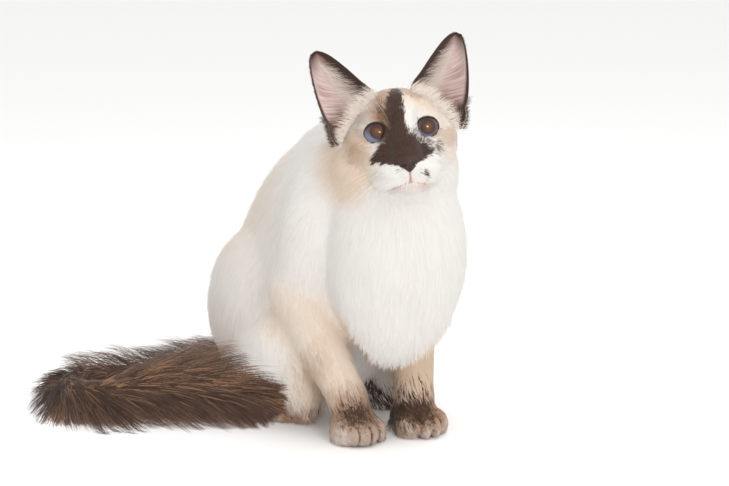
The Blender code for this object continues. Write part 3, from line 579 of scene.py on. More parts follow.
@dataclass(frozen=True)
class Mouth:
    """The line of the mouth and the cleft above it, as places on the face."""

    half_width: float = 0.0140
    middle_up: float = -0.0408
    corner_drop: float = 0.0040
    nose_low: float = -0.0325
    depth: float = 0.0021

    def line(self, left: Rows) -> Rows:
        """How high the line runs at each place across: highest under the cleft, falling to the corners."""
        return self.middle_up - self.corner_drop * np.abs(left / self.half_width) ** 1.4

    def sink(self, local: Rows) -> Rows:
        """How far the face sinks in along the line and the cleft, and swells along the lip.

        Each is a bell curve of the distance to its line.

        Args:
            local: Places in the head frame.

        Returns:
            One depth a place.
        """
        left, forward, up = local.T
        face = ramp(forward, -0.004, 0.004)
        span = 1 - ramp(np.abs(left), self.half_width * 0.85, self.half_width * 1.1)
        line = bell(up - self.line(left), 0.0011) * span * self.depth
        lip = bell(up - self.line(left) + 0.0030, 0.0020) * span * 0.0006
        height = ramp(up, self.middle_up - 0.0005, self.middle_up + 0.001)
        height = height * (1 - ramp(up, self.nose_low, self.nose_low + 0.002))
        cleft = bell(left, 0.00065) * height * self.depth * 0.55
        return (line + cleft - lip) * face

    def lip_pink_and_shade(self, local: Rows) -> Rows:
        """How strongly the lips and the cleft are coloured, by the same bell curves: their own pink, and tan as
        painted shade along the line.
        """
        left, forward, up = local.T
        face = ramp(forward, 0.0, 0.006)
        lips = bell(up - self.line(left) + 0.0002, 0.0011) * (1 - ramp(np.abs(left), 0.011, 0.016)) * face
        cleft = bell(left, 0.0007) * face * (up < self.nose_low) * (up > self.line(left))
        return np.maximum(lips, cleft)

    def bare(self, local: Rows) -> Rows:
        """Whether places are free of fur: a strip along the line and a narrower one up the cleft."""
        left, forward, up = local.T
        above = up - self.line(left)
        lips = (above < 0.0030) & (above > -0.0014) & (np.abs(left) < self.half_width)
        cleft = (np.abs(left) < 0.0011) & (up < -0.032) & (above > 0)
        return (lips | cleft) & (forward > 0)


@dataclass(frozen=True)
class Toes:
    """The three grooves between one foot's toes, as places of the cat's own frame."""

    middle: float
    start: float
    step: float
    width: float

    def depth(self, points: Rows) -> Rows:
        """How deep places lie in the grooves, from 0 to 1: bell curves across, only before and under the top."""
        front = ramp(self.start - points[:, 1], -0.006, 0.006) * (points[:, 1] > self.start - 0.05)
        low = 1 - ramp(points[:, 2], 0.020, 0.030)
        bells = [bell(points[:, 0] - self.middle - k * self.step, self.width) for k in (-1, 0, 1)]
        return np.max(bells, axis=0) * front * low


FEET = (
    Toes(-0.032, -0.012, 0.0095, 0.0020),
    Toes(0.021, -0.020, 0.0095, 0.0020),
    Toes(-0.047, 0.078, 0.0085, 0.0018),
)


def toe_grooves(points: Rows) -> Rows:
    """How deep places of the cat's own frame lie in the grooves of any foot."""
    return np.max([toes.depth(points) for toes in FEET], axis=0)


# The markings


@dataclass(frozen=True)
class Blot:
    """A patch of colour: an ellipsoid, in millimetres, with a soft, uneven edge."""

    name: str
    channel: Channel
    place: Triple
    half: Triple
    strength: float

    def level(self, places: Rows, edge: float) -> Rows:
        """Its strength at places, falling to nothing across the soft edge."""
        spread = np.linalg.norm((places / MM - self.place) / self.half, axis=1)
        return self.strength * (1 - ramp(spread, 1 - edge, 1 + edge))


@dataclass(frozen=True)
class Markings:
    """The seal tortie points: a dark mask with its blaze, tan patches, dark tail and feet, and some painted shade."""

    head: HeadFrame
    edge: float = 0.45
    # How far a mark on the face shifts for each unit that the face recedes, as the photo's view shows it.
    slant: Triple = (0.087, 0.0, 0.02)
    # Height on the face, then the dark mask's right and left edge there.
    mask_rows: tuple[Triple, ...] = (
        (40, 0.5, 1), (33, -2, 4), (25, -5.5, 5), (13, -8, 4.2), (4, -7.8, 4.2), (-4, -9, 5.2), (-8, -11, 7.5),
        (-11, -14.5, 11.5), (-16, -22, 17), (-21, -23.2, 18.5), (-25, -12.5, 13.5), (-28.5, -4, 8), (-33, 0, 2),
    )
    head_blots: tuple[Blot, ...] = (
        Blot("right brow", TAN, (-12, 0, 18), (9, 50, 13.5), 0.66),
        Blot("right brow streaks", SEAL, (-10.5, 0, 15), (5, 50, 10), 0.44),
        Blot("right inner eye", TAN, (-11.5, 0, 1), (6.5, 50, 12), 0.95),
        Blot("right inner eye streaks", SEAL, (-12, 0, -6), (6, 50, 8), 0.48),
        Blot("right lid", TAN, (-21.5, 0, 11), (12, 50, 5), 0.55),
        Blot("under right eye", TAN, (-31, 0, -12.5), (10, 50, 7), 0.38),
        Blot("right cheek", CREAM, (-40, 0, -18), (20, 60, 24), 0.95),
        Blot("right eye corner", TAN, (-32, 0, -2), (7, 50, 11), 0.45),
        Blot("left cheek", CREAM, (38, 0, -8), (15, 60, 18), 0.60),
        Blot("left eye corner", TAN, (32.5, 0, -9), (8, 50, 6), 0.42),
        Blot("left brow", TAN, (17, 0, 26), (9, 50, 7), 0.60),
        Blot("left brow edge", CREAM, (27, 0, 17), (13, 50, 11), 0.85),
        Blot("forehead", TAN, (0, 0, 32), (15, 50, 8.5), 0.36),
        Blot("crown", CREAM, (0, -30, 30), (34, 40, 22), 0.85),
        Blot("lip spot", SEAL, (11.8, 0, -34.5), (2.6, 50, 3.2), 0.70),
        Blot("left eye inner streaks", SEAL, (11.5, 0, -8.5), (7.5, 50, 8), 0.52),
        Blot("muzzle speckle", SEAL, (21.5, 0, -16.5), (8, 50, 5.5), 0.50),
        Blot("chin", PINK, (3, 20, -42.5), (13, 30, 3), 0.12),
    )
    body_blots: tuple[Blot, ...] = (
        Blot("hip", TAN, (-70, 150, 50), (40, 52, 48), 0.22),
        # Painted shade: the fold between the right foreleg and the flank, darkened with tan.
        Blot("behind right foreleg", TAN, (-46, 62, 42), (16, 24, 45), 0.85),
        Blot("flank shade", CREAM, (-70, 95, 120), (60, 80, 75), 0.10),
        Blot("back shade", CREAM, (0, 160, 190), (80, 70, 70), 0.50),
        Blot("left hip", TAN, (70, 150, 50), (40, 52, 48), 0.34),
        Blot("left flank shade", CREAM, (70, 95, 120), (60, 80, 75), 0.55),
        Blot("right elbow", CREAM, (-56, 48, 105), (24, 30, 30), 0.75),
        Blot("right forearm", CREAM, (-45, 20, 60), (26, 40, 50), 0.85),
        Blot("right forearm patch", TAN, (-52, 24, 62), (12, 16, 22), 0.42),
        Blot("right wrist", TAN, (-34, 0, 32), (22, 24, 18), 0.80),
        Blot("right wrist shade", SEAL, (-36, -4, 30), (16, 18, 12), 0.42),
        Blot("right paw", TAN, (-31, -4, 12), (26, 34, 20), 0.85),
        Blot("right paw top", SEAL, (-35, -12, 22), (18, 20, 10), 0.50),
        Blot("left forearm base", CREAM, (28, 4, 55), (26, 40, 60), 1.00),
        Blot("left forearm", TAN, (28, 4, 52), (24, 36, 45), 0.28),
        Blot("left wrist", SEAL, (22, -4, 34), (20, 24, 16), 0.40),
        Blot("left elbow", CREAM, (42, 34, 98), (24, 30, 30), 0.75),
        Blot("left paw", TAN, (20, -10, 14), (26, 34, 19), 1.00),
        Blot("left paw top", SEAL, (15, -10, 18), (18, 28, 14), 0.72),
        Blot("left hind foot", SEAL, (44, 90, 10), (24, 75, 26), 0.80),
        Blot("right hind foot", TAN, (-49, 100, 10), (24, 70, 22), 0.90),
        Blot("right hind toes", SEAL, (-47, 74, 14), (18, 16, 16), 0.48),
        Blot("right hind ankle", TAN, (-56, 80, 24), (20, 22, 22), 0.80),
        Blot("rump", TAN, (-12, 190, 30), (45, 40, 40), 0.60),
        Blot("tail root", SEAL, (-20, 195, 26), (34, 34, 26), 0.60),
    )

    def face_mask(self, local: Rows, seen: Rows, ragged: Rows) -> Rows:
        """The dark mask: a band between two edges that change with height, fading at the crown.

        Args:
            local: Places in the head frame.
            seen: The same places as the photo's view shows them.
            ragged: The unevenness of edges at each place.

        Returns:
            One level a place.
        """
        heights, rights, lefts = np.array(self.mask_rows[::-1]).T * MM
        left, up = seen[:, 0] + ragged[:, 0] * 0.0009, seen[:, 2] + ragged[:, 1] * 0.0011
        inside = np.minimum(left - np.interp(up, heights, rights), np.interp(up, heights, lefts) - left)
        dark = ramp(inside, -0.0026, 0.0024) * ramp(local[:, 1], -0.022, -0.012) * ramp(up, -0.034, -0.028)
        return dark * (1 - 0.85 * ramp(up, 0.026, 0.036))

    def masks(self, points: Rows) -> Rows:
        """The four masks at places, in the order of the channels.

        A blot's mask falls from its strength to nothing across its soft edge, and the places are moved by small
        waves first, so that edges look ragged. Two levels join as coats of paint do: what shows through both is
        the product of what shows through each.

        Args:
            points: Places in the frame of the solids.

        Returns:
            One row of four masks a place.
        """
        fine = [waves(points, 0.0065, seed) + 0.6 * waves(points, 0.0024, seed + 5) for seed in (1, 2, 3)]
        ragged = np.stack(fine, axis=1)
        moved, local = points - self.head.shift, self.head.into(points)
        seen = local + local[:, 1:2] * self.slant
        front = ramp(local[:, 1], -0.052, -0.040)
        levels = [
            (blot.channel, blot.level(seen + ragged * 0.0011, self.edge) * front) for blot in self.head_blots
        ]
        levels += [(blot.channel, blot.level(moved + ragged * 0.0030, self.edge)) for blot in self.body_blots]
        levels.append((SEAL, self.face_mask(local, seen, ragged)))
        masks = np.zeros((len(points), len(Channel)))
        for channel, level in levels:
            masks[:, channel.value] = 1 - (1 - masks[:, channel.value]) * (1 - level)
        for side in Side:
            eye = Eye(self.head, side)
            within = eye.into(points)
            rim = (1 - ramp(eye.openness(within), 0.97, 1.005)) * (np.linalg.norm(within, axis=1) < eye.near)
            masks[:, SEAL.value] = np.maximum(masks[:, SEAL.value], rim * 0.9)
        # The grooves between the toes are darkened with seal: painted shade in the creases.
        masks[:, SEAL.value] = np.maximum(masks[:, SEAL.value], toe_grooves(moved) * 0.55)
        # The line of the mouth and the cleft take tan as painted shade under the whisker pads, and pink as the lips'
        # own colour.
        lips = Mouth().lip_pink_and_shade(local)
        masks[:, TAN.value] = np.maximum(masks[:, TAN.value], lips * 0.9)
        masks[:, PINK.value] = np.maximum(masks[:, PINK.value], lips * 0.5)
        return np.clip(masks, 0, 1)


# The lie of the coat


@dataclass(frozen=True)
class Lie:
    """How the coat grows near one place: where it points, how long, broad and raised it is.

    Places, lengths, widths and reaches are millimetres, and rises are degrees. A guide with both set counts
    again on the cat's other side.
    """

    place: Triple
    flow: Triple
    length: float
    rise: float
    width: float = 0.75
    reach: float = 30
    both: bool = False


@dataclass(frozen=True)
class LieField:
    """The lie of the coat over the whole body, a weighted mean of guides near each place."""

    head: HeadFrame
    rise: float = 0.62
    width: float = 1.60
    head_guides: tuple[Lie, ...] = (
        Lie((0, 12, -5), (0.0, -0.3, 0.95), 2.4, 10, 0.34, 9),
        Lie((0, 23, -21), (0.0, -0.4, 0.90), 1.6, 8, 0.30, 6),
        Lie((0, 6, 12), (0.0, -0.45, 0.90), 4.2, 12, 0.40, 10),
        Lie((0, -10, 26), (0.0, -0.85, 0.50), 6.0, 14, 0.50, 12),
        Lie((0, -35, 31), (0.0, -1.0, 0.0), 8.0, 14, 0.60, 14),
        Lie((0, -58, 15), (0.0, -0.8, -0.6), 11.0, 14, 0.65, 16),
        Lie((14, 3, 14), (0.35, -0.4, 0.85), 4.0, 14, 0.38, 8, both=True),
        Lie((26, -6, 16), (0.60, -0.5, 0.60), 5.0, 14, 0.42, 9, both=True),
        Lie((36, -18, 14), (0.90, -0.4, 0.15), 9.5, 36, 0.40, 9, both=True),
        Lie((42, -20, 0), (0.95, -0.2, -0.05), 12.0, 40, 0.42, 8, both=True),
        Lie((34, -8, -3), (0.75, -0.6, -0.15), 4.5, 14, 0.40, 8, both=True),
        Lie((22, 3, -14), (0.80, -0.3, -0.35), 3.2, 12, 0.36, 8, both=True),
        Lie((10, 6, -6), (0.30, -0.3, 0.60), 2.4, 10, 0.34, 6, both=True),
        Lie((8, 16, -20), (0.60, -0.3, 0.45), 2.2, 10, 0.32, 6, both=True),
        Lie((13, 19, -33), (0.85, -0.40, -0.12), 2.2, 10, 0.30, 8, both=True),
        Lie((20, 8, -30), (0.75, -0.50, -0.35), 4.0, 14, 0.38, 8, both=True),
        Lie((34, -10, -20), (0.70, -0.45, -0.55), 9.0, 26, 0.44, 11, both=True),
        Lie((40, -28, -10), (0.85, -0.45, -0.35), 15.0, 38, 0.48, 12, both=True),
        Lie((30, -20, -36), (0.50, -0.40, -0.75), 15.0, 28, 0.52, 12, both=True),
        Lie((0, 14, -48), (0.0, -0.35, -0.95), 2.6, 12, 0.32, 8),
        Lie((0, -4, -50), (0.0, -0.25, -0.97), 13.0, 16, 0.60, 12),
    )
    body_guides: tuple[Lie, ...] = (
        # Neck, ruff and chest.
        Lie((10, -34, 195), (0.0, -0.22, -0.97), 24, 15, 0.80, 26),
        Lie((45, -10, 205), (0.42, -0.10, -0.90), 22, 18, 0.80, 26),
        Lie((-30, -10, 205), (-0.42, -0.10, -0.90), 22, 18, 0.80, 26),
        Lie((8, -46, 150), (0.0, -0.04, -1.0), 26, 14, 0.85, 30),
        Lie((55, -10, 140), (0.25, 0.15, -0.95), 22, 15, 0.80, 28),
        Lie((-40, -20, 140), (-0.15, 0.05, -0.98), 22, 15, 0.80, 24),
        Lie((8, -36, 95), (0.0, 0.10, -1.0), 27, 20, 0.85, 30),
        Lie((8, 0, 70), (0.0, 0.30, -0.95), 28, 32, 0.85, 30),
        Lie((12, 60, 240), (-0.10, 0.92, -0.38), 15, 13, 0.75, 24),
        Lie((45, 50, 215), (0.40, 0.55, -0.72), 17, 15, 0.78, 28, both=True),
        # Back, flanks and haunches.
        Lie((0, 105, 232), (0.0, 0.80, -0.60), 16, 30, 0.70, 32),
        Lie((0, 165, 178), (0.0, 0.50, -0.86), 18, 30, 0.72, 34),
        Lie((0, 200, 110), (0.0, 0.10, -1.0), 19, 27, 0.75, 36),
        Lie((0, 200, 50), (-0.15, 0.15, -1.0), 22, 17, 0.85, 30),
        Lie((58, 120, 165), (0.10, 0.45, -0.88), 17, 26, 0.72, 34, both=True),
        Lie((60, 80, 150), (0.10, 0.20, -0.97), 17, 18, 0.75, 28, both=True),
        Lie((74, 130, 90), (0.15, 0.05, -1.0), 18, 22, 0.75, 34, both=True),
        Lie((68, 170, 60), (0.15, 0.30, -0.95), 19, 26, 0.75, 30, both=True),
        Lie((70, 90, 60), (0.10, -0.30, -0.95), 13, 16, 0.75, 26, both=True),
        Lie((55, 40, 40), (0.05, -0.20, -0.97), 13, 14, 0.80, 22, both=True),
        Lie((0, 50, 50), (0.0, -0.10, -1.0), 24, 20, 0.85, 28),
        # Shoulders and forelegs.
        Lie((55, 40, 180), (0.10, 0.20, -0.97), 16, 12, 0.75, 24, both=True),
        Lie((70, 44, 140), (0.05, 0.12, -0.99), 14, 11, 0.70, 22, both=True),
        Lie((-75, 52, 105), (0.10, -0.20, -0.97), 8, 10, 0.55, 16),
        Lie((-50, 20, 90), (0.15, -0.35, -0.92), 5.5, 9, 0.48, 16),
        Lie((-55, 64, 95), (0.05, 0.25, -0.97), 13, 16, 0.65, 12),
        Lie((-45, 10, 55), (0.20, -0.40, -0.90), 5.0, 9, 0.45, 16),
        Lie((-40, 28, 45), (0.15, -0.05, -0.98), 8.0, 13, 0.50, 12),
        Lie((64, 44, 105), (-0.10, -0.20, -0.97), 8, 10, 0.55, 16),
        Lie((42, 14, 90), (-0.12, -0.35, -0.92), 5.5, 9, 0.48, 16),
        Lie((34, 4, 55), (-0.15, -0.40, -0.90), 5.0, 9, 0.45, 16),
        Lie((30, 22, 45), (-0.10, -0.05, -0.98), 8.0, 13, 0.50, 12),
        Lie((-32, -6, 24), (0.05, -0.90, -0.40), 2.8, 9, 0.34, 10),
        Lie((-32, -24, 12), (0.0, -0.70, -0.70), 1.9, 7, 0.30, 10),
        Lie((21, -14, 24), (0.0, -0.90, -0.40), 2.8, 9, 0.34, 10),
        Lie((21, -32, 12), (0.0, -0.70, -0.70), 1.9, 7, 0.30, 10),
        # Hind feet.
        Lie((-60, 85, 40), (0.05, -0.30, -0.95), 8.0, 12, 0.50, 18),
        Lie((-52, 72, 28), (0.0, -0.60, -0.70), 4.0, 10, 0.38, 14),
        Lie((50, 120, 14), (0.0, -0.90, -0.20), 6.0, 12, 0.48, 16, both=True),
        Lie((-46, 74, 16), (0.0, -0.90, -0.40), 3.6, 10, 0.38, 10),
        Lie((42, 62, 16), (0.0, -0.90, -0.40), 3.6, 10, 0.38, 10),
    )

    def table(self) -> tuple[Rows, Rows, Rows, Rows]:
        """The guides as arrays: places, flows, sizes (length, rise, width) and reaches."""
        rows = []
        guides = [(guide, True) for guide in self.head_guides]
        guides += [(guide, False) for guide in self.body_guides]
        for guide, on_head in guides:
            for sign in (1, -1) if guide.both else (1,):
                place, flow = np.array((guide.place, guide.flow)) * (sign, 1, 1)
                place = self.head.out(place * MM) if on_head else place * MM + self.head.shift
                flow = self.head.turned(flow) if on_head else flow
                rise = math.radians(guide.rise) * self.rise
                size = (guide.length * MM, rise, guide.width * self.width * MM)
                rows.append((*place, *flow, *size, guide.reach * MM))
        rows = np.array(rows)
        return rows[:, :3], unit(rows[:, 3:6]), rows[:, 6:9], rows[:, 9]

    def at(self, points: Rows, normals: Rows) -> tuple[Rows, Rows]:
        """The coat at places of the skin: each guide counts by a bell curve of its distance over its reach.

        Args:
            points: Places of the skin.
            normals: The skin's normals there.

        Returns:
            Flows along the skin, and rows of length, rise and width.
        """
        places, flows, sizes, reaches = self.table()
        square = square_distances(points, places)
        weights = np.exp(-square / (2 * reaches**2)) / reaches + 1e-9 / (1e-6 + square)
        weights /= weights.sum(axis=1, keepdims=True)
        flow = weights @ flows
        flow -= normals * (flow * normals).sum(axis=1, keepdims=True)
        return unit(flow), weights @ sizes


# The tail


@dataclass(frozen=True)
class TailLine:
    """The tail's path on the floor from rump to tip, in millimetres: x, y, z and the coat's radius."""

    head: HeadFrame
    core: float = 0.30
    sag: float = 0.15
    stations: tuple[tuple[float, float, float, float], ...] = (
        (-4, 172, 34, 18), (-24, 193, 26, 21), (-60, 202, 23, 22.5), (-105, 204, 22, 22.5), (-152, 204, 23, 23.5),
        (-184, 194, 25, 26), (-197, 170, 28, 29), (-186, 146, 30, 31), (-162, 131, 32, 33), (-136, 113, 32, 33),
        (-106, 93, 29, 29), (-86, 79, 24, 22), (-72, 70, 19, 12),
    )

    def rows(self, per_span: int = 10) -> tuple[Rows, Rows, Rows]:
        """Centres, directions and coat radii along the tail."""
        rows = smooth_rows(np.array(self.stations) * MM, per_span)
        return rows[:, :3] + self.head.shift, unit(np.gradient(rows[:, :3], axis=0)), rows[:, 3]

    def flesh(self) -> Surface:
        """The tail without its coat: a round profile, lower than the coat's middle, that thins to the tip."""
        centres, _, radii = self.rows()
        thick = radii * self.core * np.linspace(1.25, 0.75, len(radii))
        return tube(centres - UP * self.sag * radii[:, None], thick, 18)

    def claims(self, points: Rows) -> Rows:
        """Whether places belong to the tail's core: within half of the coat of its path, past the rump."""
        centres, _, radii = self.rows(4)
        square = square_distances(points, centres)
        nearest = square.argmin(axis=1)
        distance = np.sqrt(np.maximum(square[np.arange(len(points)), nearest], 0))
        return (distance < radii[nearest] * 0.55) & (nearest > 4)


# Where each coat piece grows


@dataclass(frozen=True)
class Bone:
    """A straight line in the body, in millimetres, that claims the skin nearest to it, given its thickness."""

    start: Triple
    end: Triple
    radius: float
    on_head: bool = False

    def ends(self, head: HeadFrame) -> tuple[Rows, Rows]:
        """Its two ends in the frame of the solids."""
        pair = np.array((self.start, self.end)) * MM
        a, b = head.out(pair) if self.on_head else pair + head.shift
        return a, b

    def across(self, head: HeadFrame, points: Rows) -> Rows:
        """How far places lie outside the bone's thickness."""
        a, b = self.ends(head)
        t = np.clip((points - a) @ (b - a) / ((b - a) @ (b - a)), 0, 1)
        return np.linalg.norm(points - a - t[:, None] * (b - a), axis=1) - self.radius * MM

    def unwrapped(self, head: HeadFrame, points: Rows) -> Rows:
        """Angle round the bone and height along it, each between 0 and 1."""
        a, b = self.ends(head)
        along = unit(b - a)
        side = unit(np.cross(along, (0.31, 0.94, 0.12)))
        other = np.cross(along, side)
        offset = points - (a + b) / 2
        angle = np.arctan2(offset @ other, offset @ side) / (2 * math.pi) + 0.5
        rise = offset @ along / (np.linalg.norm(b - a) + 2.2 * self.radius * MM)
        return np.stack((angle, np.clip(rise + 0.5, 0, 1)), axis=1)


@dataclass(frozen=True)
class Clumps:
    """How tufts draw together: how many make a clump, how far they draw in, and how that grows to the tip."""

    size: int = 10
    gather: float = 0.22
    power: float = 1.4
    uneven: tuple[float, float] = (0.5, 1.3)
    station: int = 0

    def gathered(self, paths: Rows, draw: np.random.Generator) -> Rows:
        """Paths drawn towards the path of the nearest clump's middle, more so towards their tips.

        Args:
            paths: The tufts' paths, tufts by stations by three.
            draw: The source of chance.

        Returns:
            The gathered paths.
        """
        leaders = draw.choice(len(paths), len(paths) // self.size, replace=False)
        heads = paths[leaders, self.station]
        nearest, = in_chunks(
            lambda rows: (square_distances(rows, heads).argmin(axis=1),), paths[:, self.station], size=2000)
        pull = np.linspace(0, 1, paths.shape[1])[None, :, None] ** self.power * self.gather
        pull = pull * draw.uniform(*self.uneven, (len(paths), 1, 1))
        return paths + (paths[leaders[nearest]] - paths) * pull


@dataclass(frozen=True)
class CoatPiece:
    """One piece of the coat: how many tufts, of how many stations, and the bones whose skin it covers."""

    name: str
    count: int
    stations: int
    bones: tuple[Bone, ...]
    clumps: Clumps = Clumps()
    jitter: float = 0.12


COAT_PIECES = (
    CoatPiece("coat_face", 19000, 3, (
        Bone((0, 0, -30), (0, 6, -10), 26, True),
        Bone((0, -4, 0), (0, -10, 16), 27, True),
        Bone((-22, -4, -6), (22, -4, -6), 18, True),
    ), Clumps(5, 0.25), 0.14),
    CoatPiece("coat_head", 8500, 4, (
        Bone((0, -40, 18), (0, -45, -10), 36, True),
        Bone((34, -30, -18), (-34, -30, -18), 18, True),
    ), Clumps(9, 0.35)),
    CoatPiece("coat_ruff", 8500, 4, (
        Bone((11, 10, 200), (12, 30, 215), 42),
    ), Clumps(12, 0.22)),
    CoatPiece("coat_chest", 9500, 4, (
        Bone((8, 2, 165), (8, 4, 90), 46),
        Bone((0, 60, 60), (0, 90, 40), 40),
    ), Clumps(12, 0.25)),
    CoatPiece("coat_back", 9500, 4, (
        Bone((6, 78, 205), (0, 110, 150), 56),
        Bone((0, 140, 130), (0, 160, 50), 56),
    ), Clumps(14)),
    CoatPiece("coat_haunch_right", 7500, 4, (
        Bone((-45, 130, 110), (-50, 130, 50), 40), Bone((-55, 66, 66), (-52, 64, 40), 26),
    ), Clumps(14)),
    CoatPiece("coat_haunch_left", 5500, 4, (
        Bone((45, 128, 110), (50, 128, 50), 40), Bone((55, 62, 66), (52, 60, 40), 26),
    ), Clumps(14)),
    CoatPiece("coat_forelegs", 15500, 3, (
        Bone((-41, 42, 168), (-53, 52, 114), 24), Bone((-53, 48, 108), (-34, 4, 30), 18),
        Bone((47, 36, 168), (48, 44, 114), 24), Bone((47, 40, 108), (24, -2, 30), 18),
        Bone((-31, -1, 12), (-33, -12, 10), 18), Bone((21, -9, 12), (21, -22, 10), 18),
    ), Clumps(7, 0.3)),
    CoatPiece("coat_hind_feet", 5000, 3, (
        Bone((-49, 150, 12), (-46, 75, 11), 14), Bone((48, 145, 12), (42, 62, 11), 14),
    ), Clumps(7, 0.3)),
)


# The whole cat


@dataclass(frozen=True)
class Anatomy:
    """The forms and marks that skin and coat are made from."""

    head: HeadFrame
    shape: HeadShape
    mouth: Mouth
    tail: TailLine
    lie: LieField
    marks: Markings


# The skin


@dataclass(frozen=True)
class SkinBuilder:
    """Makes the one skin of the cat from its flesh nodes and the fine shape of the head."""

    frame: dict
    body: Anatomy
    voxel: float = 0.0023
    grow: float = 0.0005
    smooth_rounds: int = 11
    depth_rounds: int = 12
    socket_radius: float = 0.0095
    lid_radius: float = 0.0122
    coat_share: float = 0.35
    toe_depth: float = 0.0026
    face_depth: float = 0.0005
    chin_depth: float = 0.0055
    chin_place: Triple = (0.0, 0.011, -0.050)
    chin_half: Triple = (0.016, 0.014, 0.006)
    over_floor: float = 0.0008

    def cast(self) -> bpy.types.Mesh:
        """The flesh nodes, the head mass and the tail's core fused by a voxel remesh."""
        head, shape = self.body.head, self.body.shape
        ball = bmesh.new()
        bmesh.ops.create_icosphere(ball, subdivisions=6, radius=0.03)
        points, faces = arrays_from(ball)
        parts = [(head.out(shape.snapped(points + shape.middle)), faces), self.body.tail.flesh()]
        for name in FLESH_NODES:
            node, work = self.frame["nodes"][name], bmesh.new()
            work.from_mesh(node.data)
            work.transform(node.matrix_world)
            bmesh.ops.remove_doubles(work, verts=work.verts, dist=1e-5)
            points, faces = arrays_from(work)
            parts.append((points + vertex_normals(points, faces) * self.grow, faces))
        work = new_piece("cast", *joined(parts))
        fuse = work.modifiers.new("fuse", "REMESH")
        fuse.mode, fuse.voxel_size = "VOXEL", self.voxel
        mesh = with_modifiers(work)
        bpy.data.objects.remove(work)
        return mesh

    def softness(self, local: Rows, points: Rows) -> Rows:
        """How far each place is smoothed: fully on the body, a little on face and paws."""
        head = np.clip(np.linalg.norm(local - (0, 0.016, -0.006), axis=1) / 0.040 - 1.05, 0, 1)
        paws = np.clip((points[:, 2] - 0.020) / 0.03, 0, 1)
        return 0.5 * (0.06 + 0.94 * np.minimum(head, paws))

    def near_head(self, local: Rows, back: float, front: float) -> Rows:
        """How fully places take the fine shape of the head: all of it forward of the ears and close to it."""
        near = 1 - ramp(np.abs(self.body.shape.distance(local)), 0.003, 0.006)
        return ramp(local[:, 1], back, front) * near

    def sunk(self, mesh: bpy.types.Mesh) -> Rows:
        """The fused points, smoothed and then sunk by the depth of their coat and of the grooves of the toes.

        Args:
            mesh: The fused mesh.

        Returns:
            Its moved points.
        """
        head = self.body.head
        points, edges = point_array(mesh), edge_array(mesh)
        points = eased(points, edges, self.softness(head.into(points), points), self.smooth_rounds)
        normals = vertex_normals(points, arrays_of(mesh)[1])
        _, sizes = in_chunks(self.body.lie.at, points, normals)
        depth = sizes[:, 0] * np.sin(sizes[:, 1]) * self.coat_share * ~self.body.tail.claims(points)
        depth = eased(depth[:, None], edges, np.full(len(points), 0.5), self.depth_rounds)[:, 0]
        depth = depth + self.toe_depth * toe_grooves(points - head.shift)
        local = head.into(points)
        fine = self.near_head(local, -0.024, -0.010)
        snapped = head.out(self.body.shape.snapped(local))
        return points + (snapped - points) * fine[:, None] - normals * depth[:, None]

    def refined(self, mesh: bpy.types.Mesh) -> Surface:
        """The mesh's points and triangles, its edges on the front of the head cut in four."""
        local = self.body.head.into(point_array(mesh))
        front = (local[:, 1] > -0.010) & (np.abs(local[:, 0]) < 0.033) & (np.abs(local[:, 2] + 0.018) < 0.034)
        work = bmesh.new()
        work.from_mesh(mesh)
        work.verts.ensure_lookup_table()
        chosen = set(np.flatnonzero(front).tolist())
        edges = [edge for edge in work.edges if all(vertex.index in chosen for vertex in edge.verts)]
        bmesh.ops.subdivide_edges(work, edges=edges, cuts=3, use_grid_fill=True)
        bmesh.ops.triangulate(work, faces=work.faces)
        return arrays_from(work)

    def socketed(self, points: Rows) -> Rows:
        """The skin drawn in to the lids round each eye, and pushed back behind the ball inside its opening."""
        for side in Side:
            eye = Eye(self.body.head, side)
            local = eye.into(points)
            radius = np.linalg.norm(local, axis=1)
            spread = eye.openness(local * (self.lid_radius / np.maximum(radius, 1e-9))[:, None])
            near = radius < eye.near
            lids = (1 - ramp(spread, 1.06, 1.60)) * near
            wanted = radius + (np.minimum(self.lid_radius, radius) - radius) * lids
            inside = (1 - ramp(spread, 0.97, 1.04)) * near
            wanted = wanted + (np.minimum(self.socket_radius, wanted) - wanted) * inside
            points = eye.out(local * (wanted / np.maximum(radius, 1e-9))[:, None])
        return points

    def faced(self, points: Rows) -> Rows:
        """The points with the fine forms of the face: the head's own surface, chin, mouth and lids.

        Args:
            points: The points of the refined skin.

        Returns:
            The moved points, none of them below the floor.
        """
        head, shape = self.body.head, self.body.shape
        local = head.into(points)
        smooth = shape.snapped(local)
        chin = self.chin_depth * np.exp(-np.square((smooth - self.chin_place) / self.chin_half).sum(axis=1))
        sink = self.face_depth + chin + self.body.mouth.sink(smooth)
        smooth = smooth - unit(smooth - shape.middle) * sink[:, None]
        points = points + (head.out(smooth) - points) * self.near_head(local, -0.016, -0.006)[:, None]
        points = self.socketed(points)
        points[:, 2] = np.maximum(points[:, 2], self.over_floor)
        return points

    def build(self) -> bpy.types.Object:
        """The skin, with its colour masks stored."""
        mesh = self.cast()
        log.info("fused skin: %d points", len(mesh.vertices))
        mesh.vertices.foreach_set("co", self.sunk(mesh).astype(np.float32).ravel())
        points, faces = self.refined(mesh)
        bpy.data.meshes.remove(mesh)
        skin = new_piece("cat_skin", self.faced(points), faces)
        points = point_array(skin.data)
        masks = self.body.marks.masks(points)
        masks[self.body.tail.claims(points)] = (0.9, 1.0, 1.0, 0.0)
        give(skin.data, "marks", masks)
        log.info("skin: %d points, %d triangles", len(points), len(faces))
        return skin


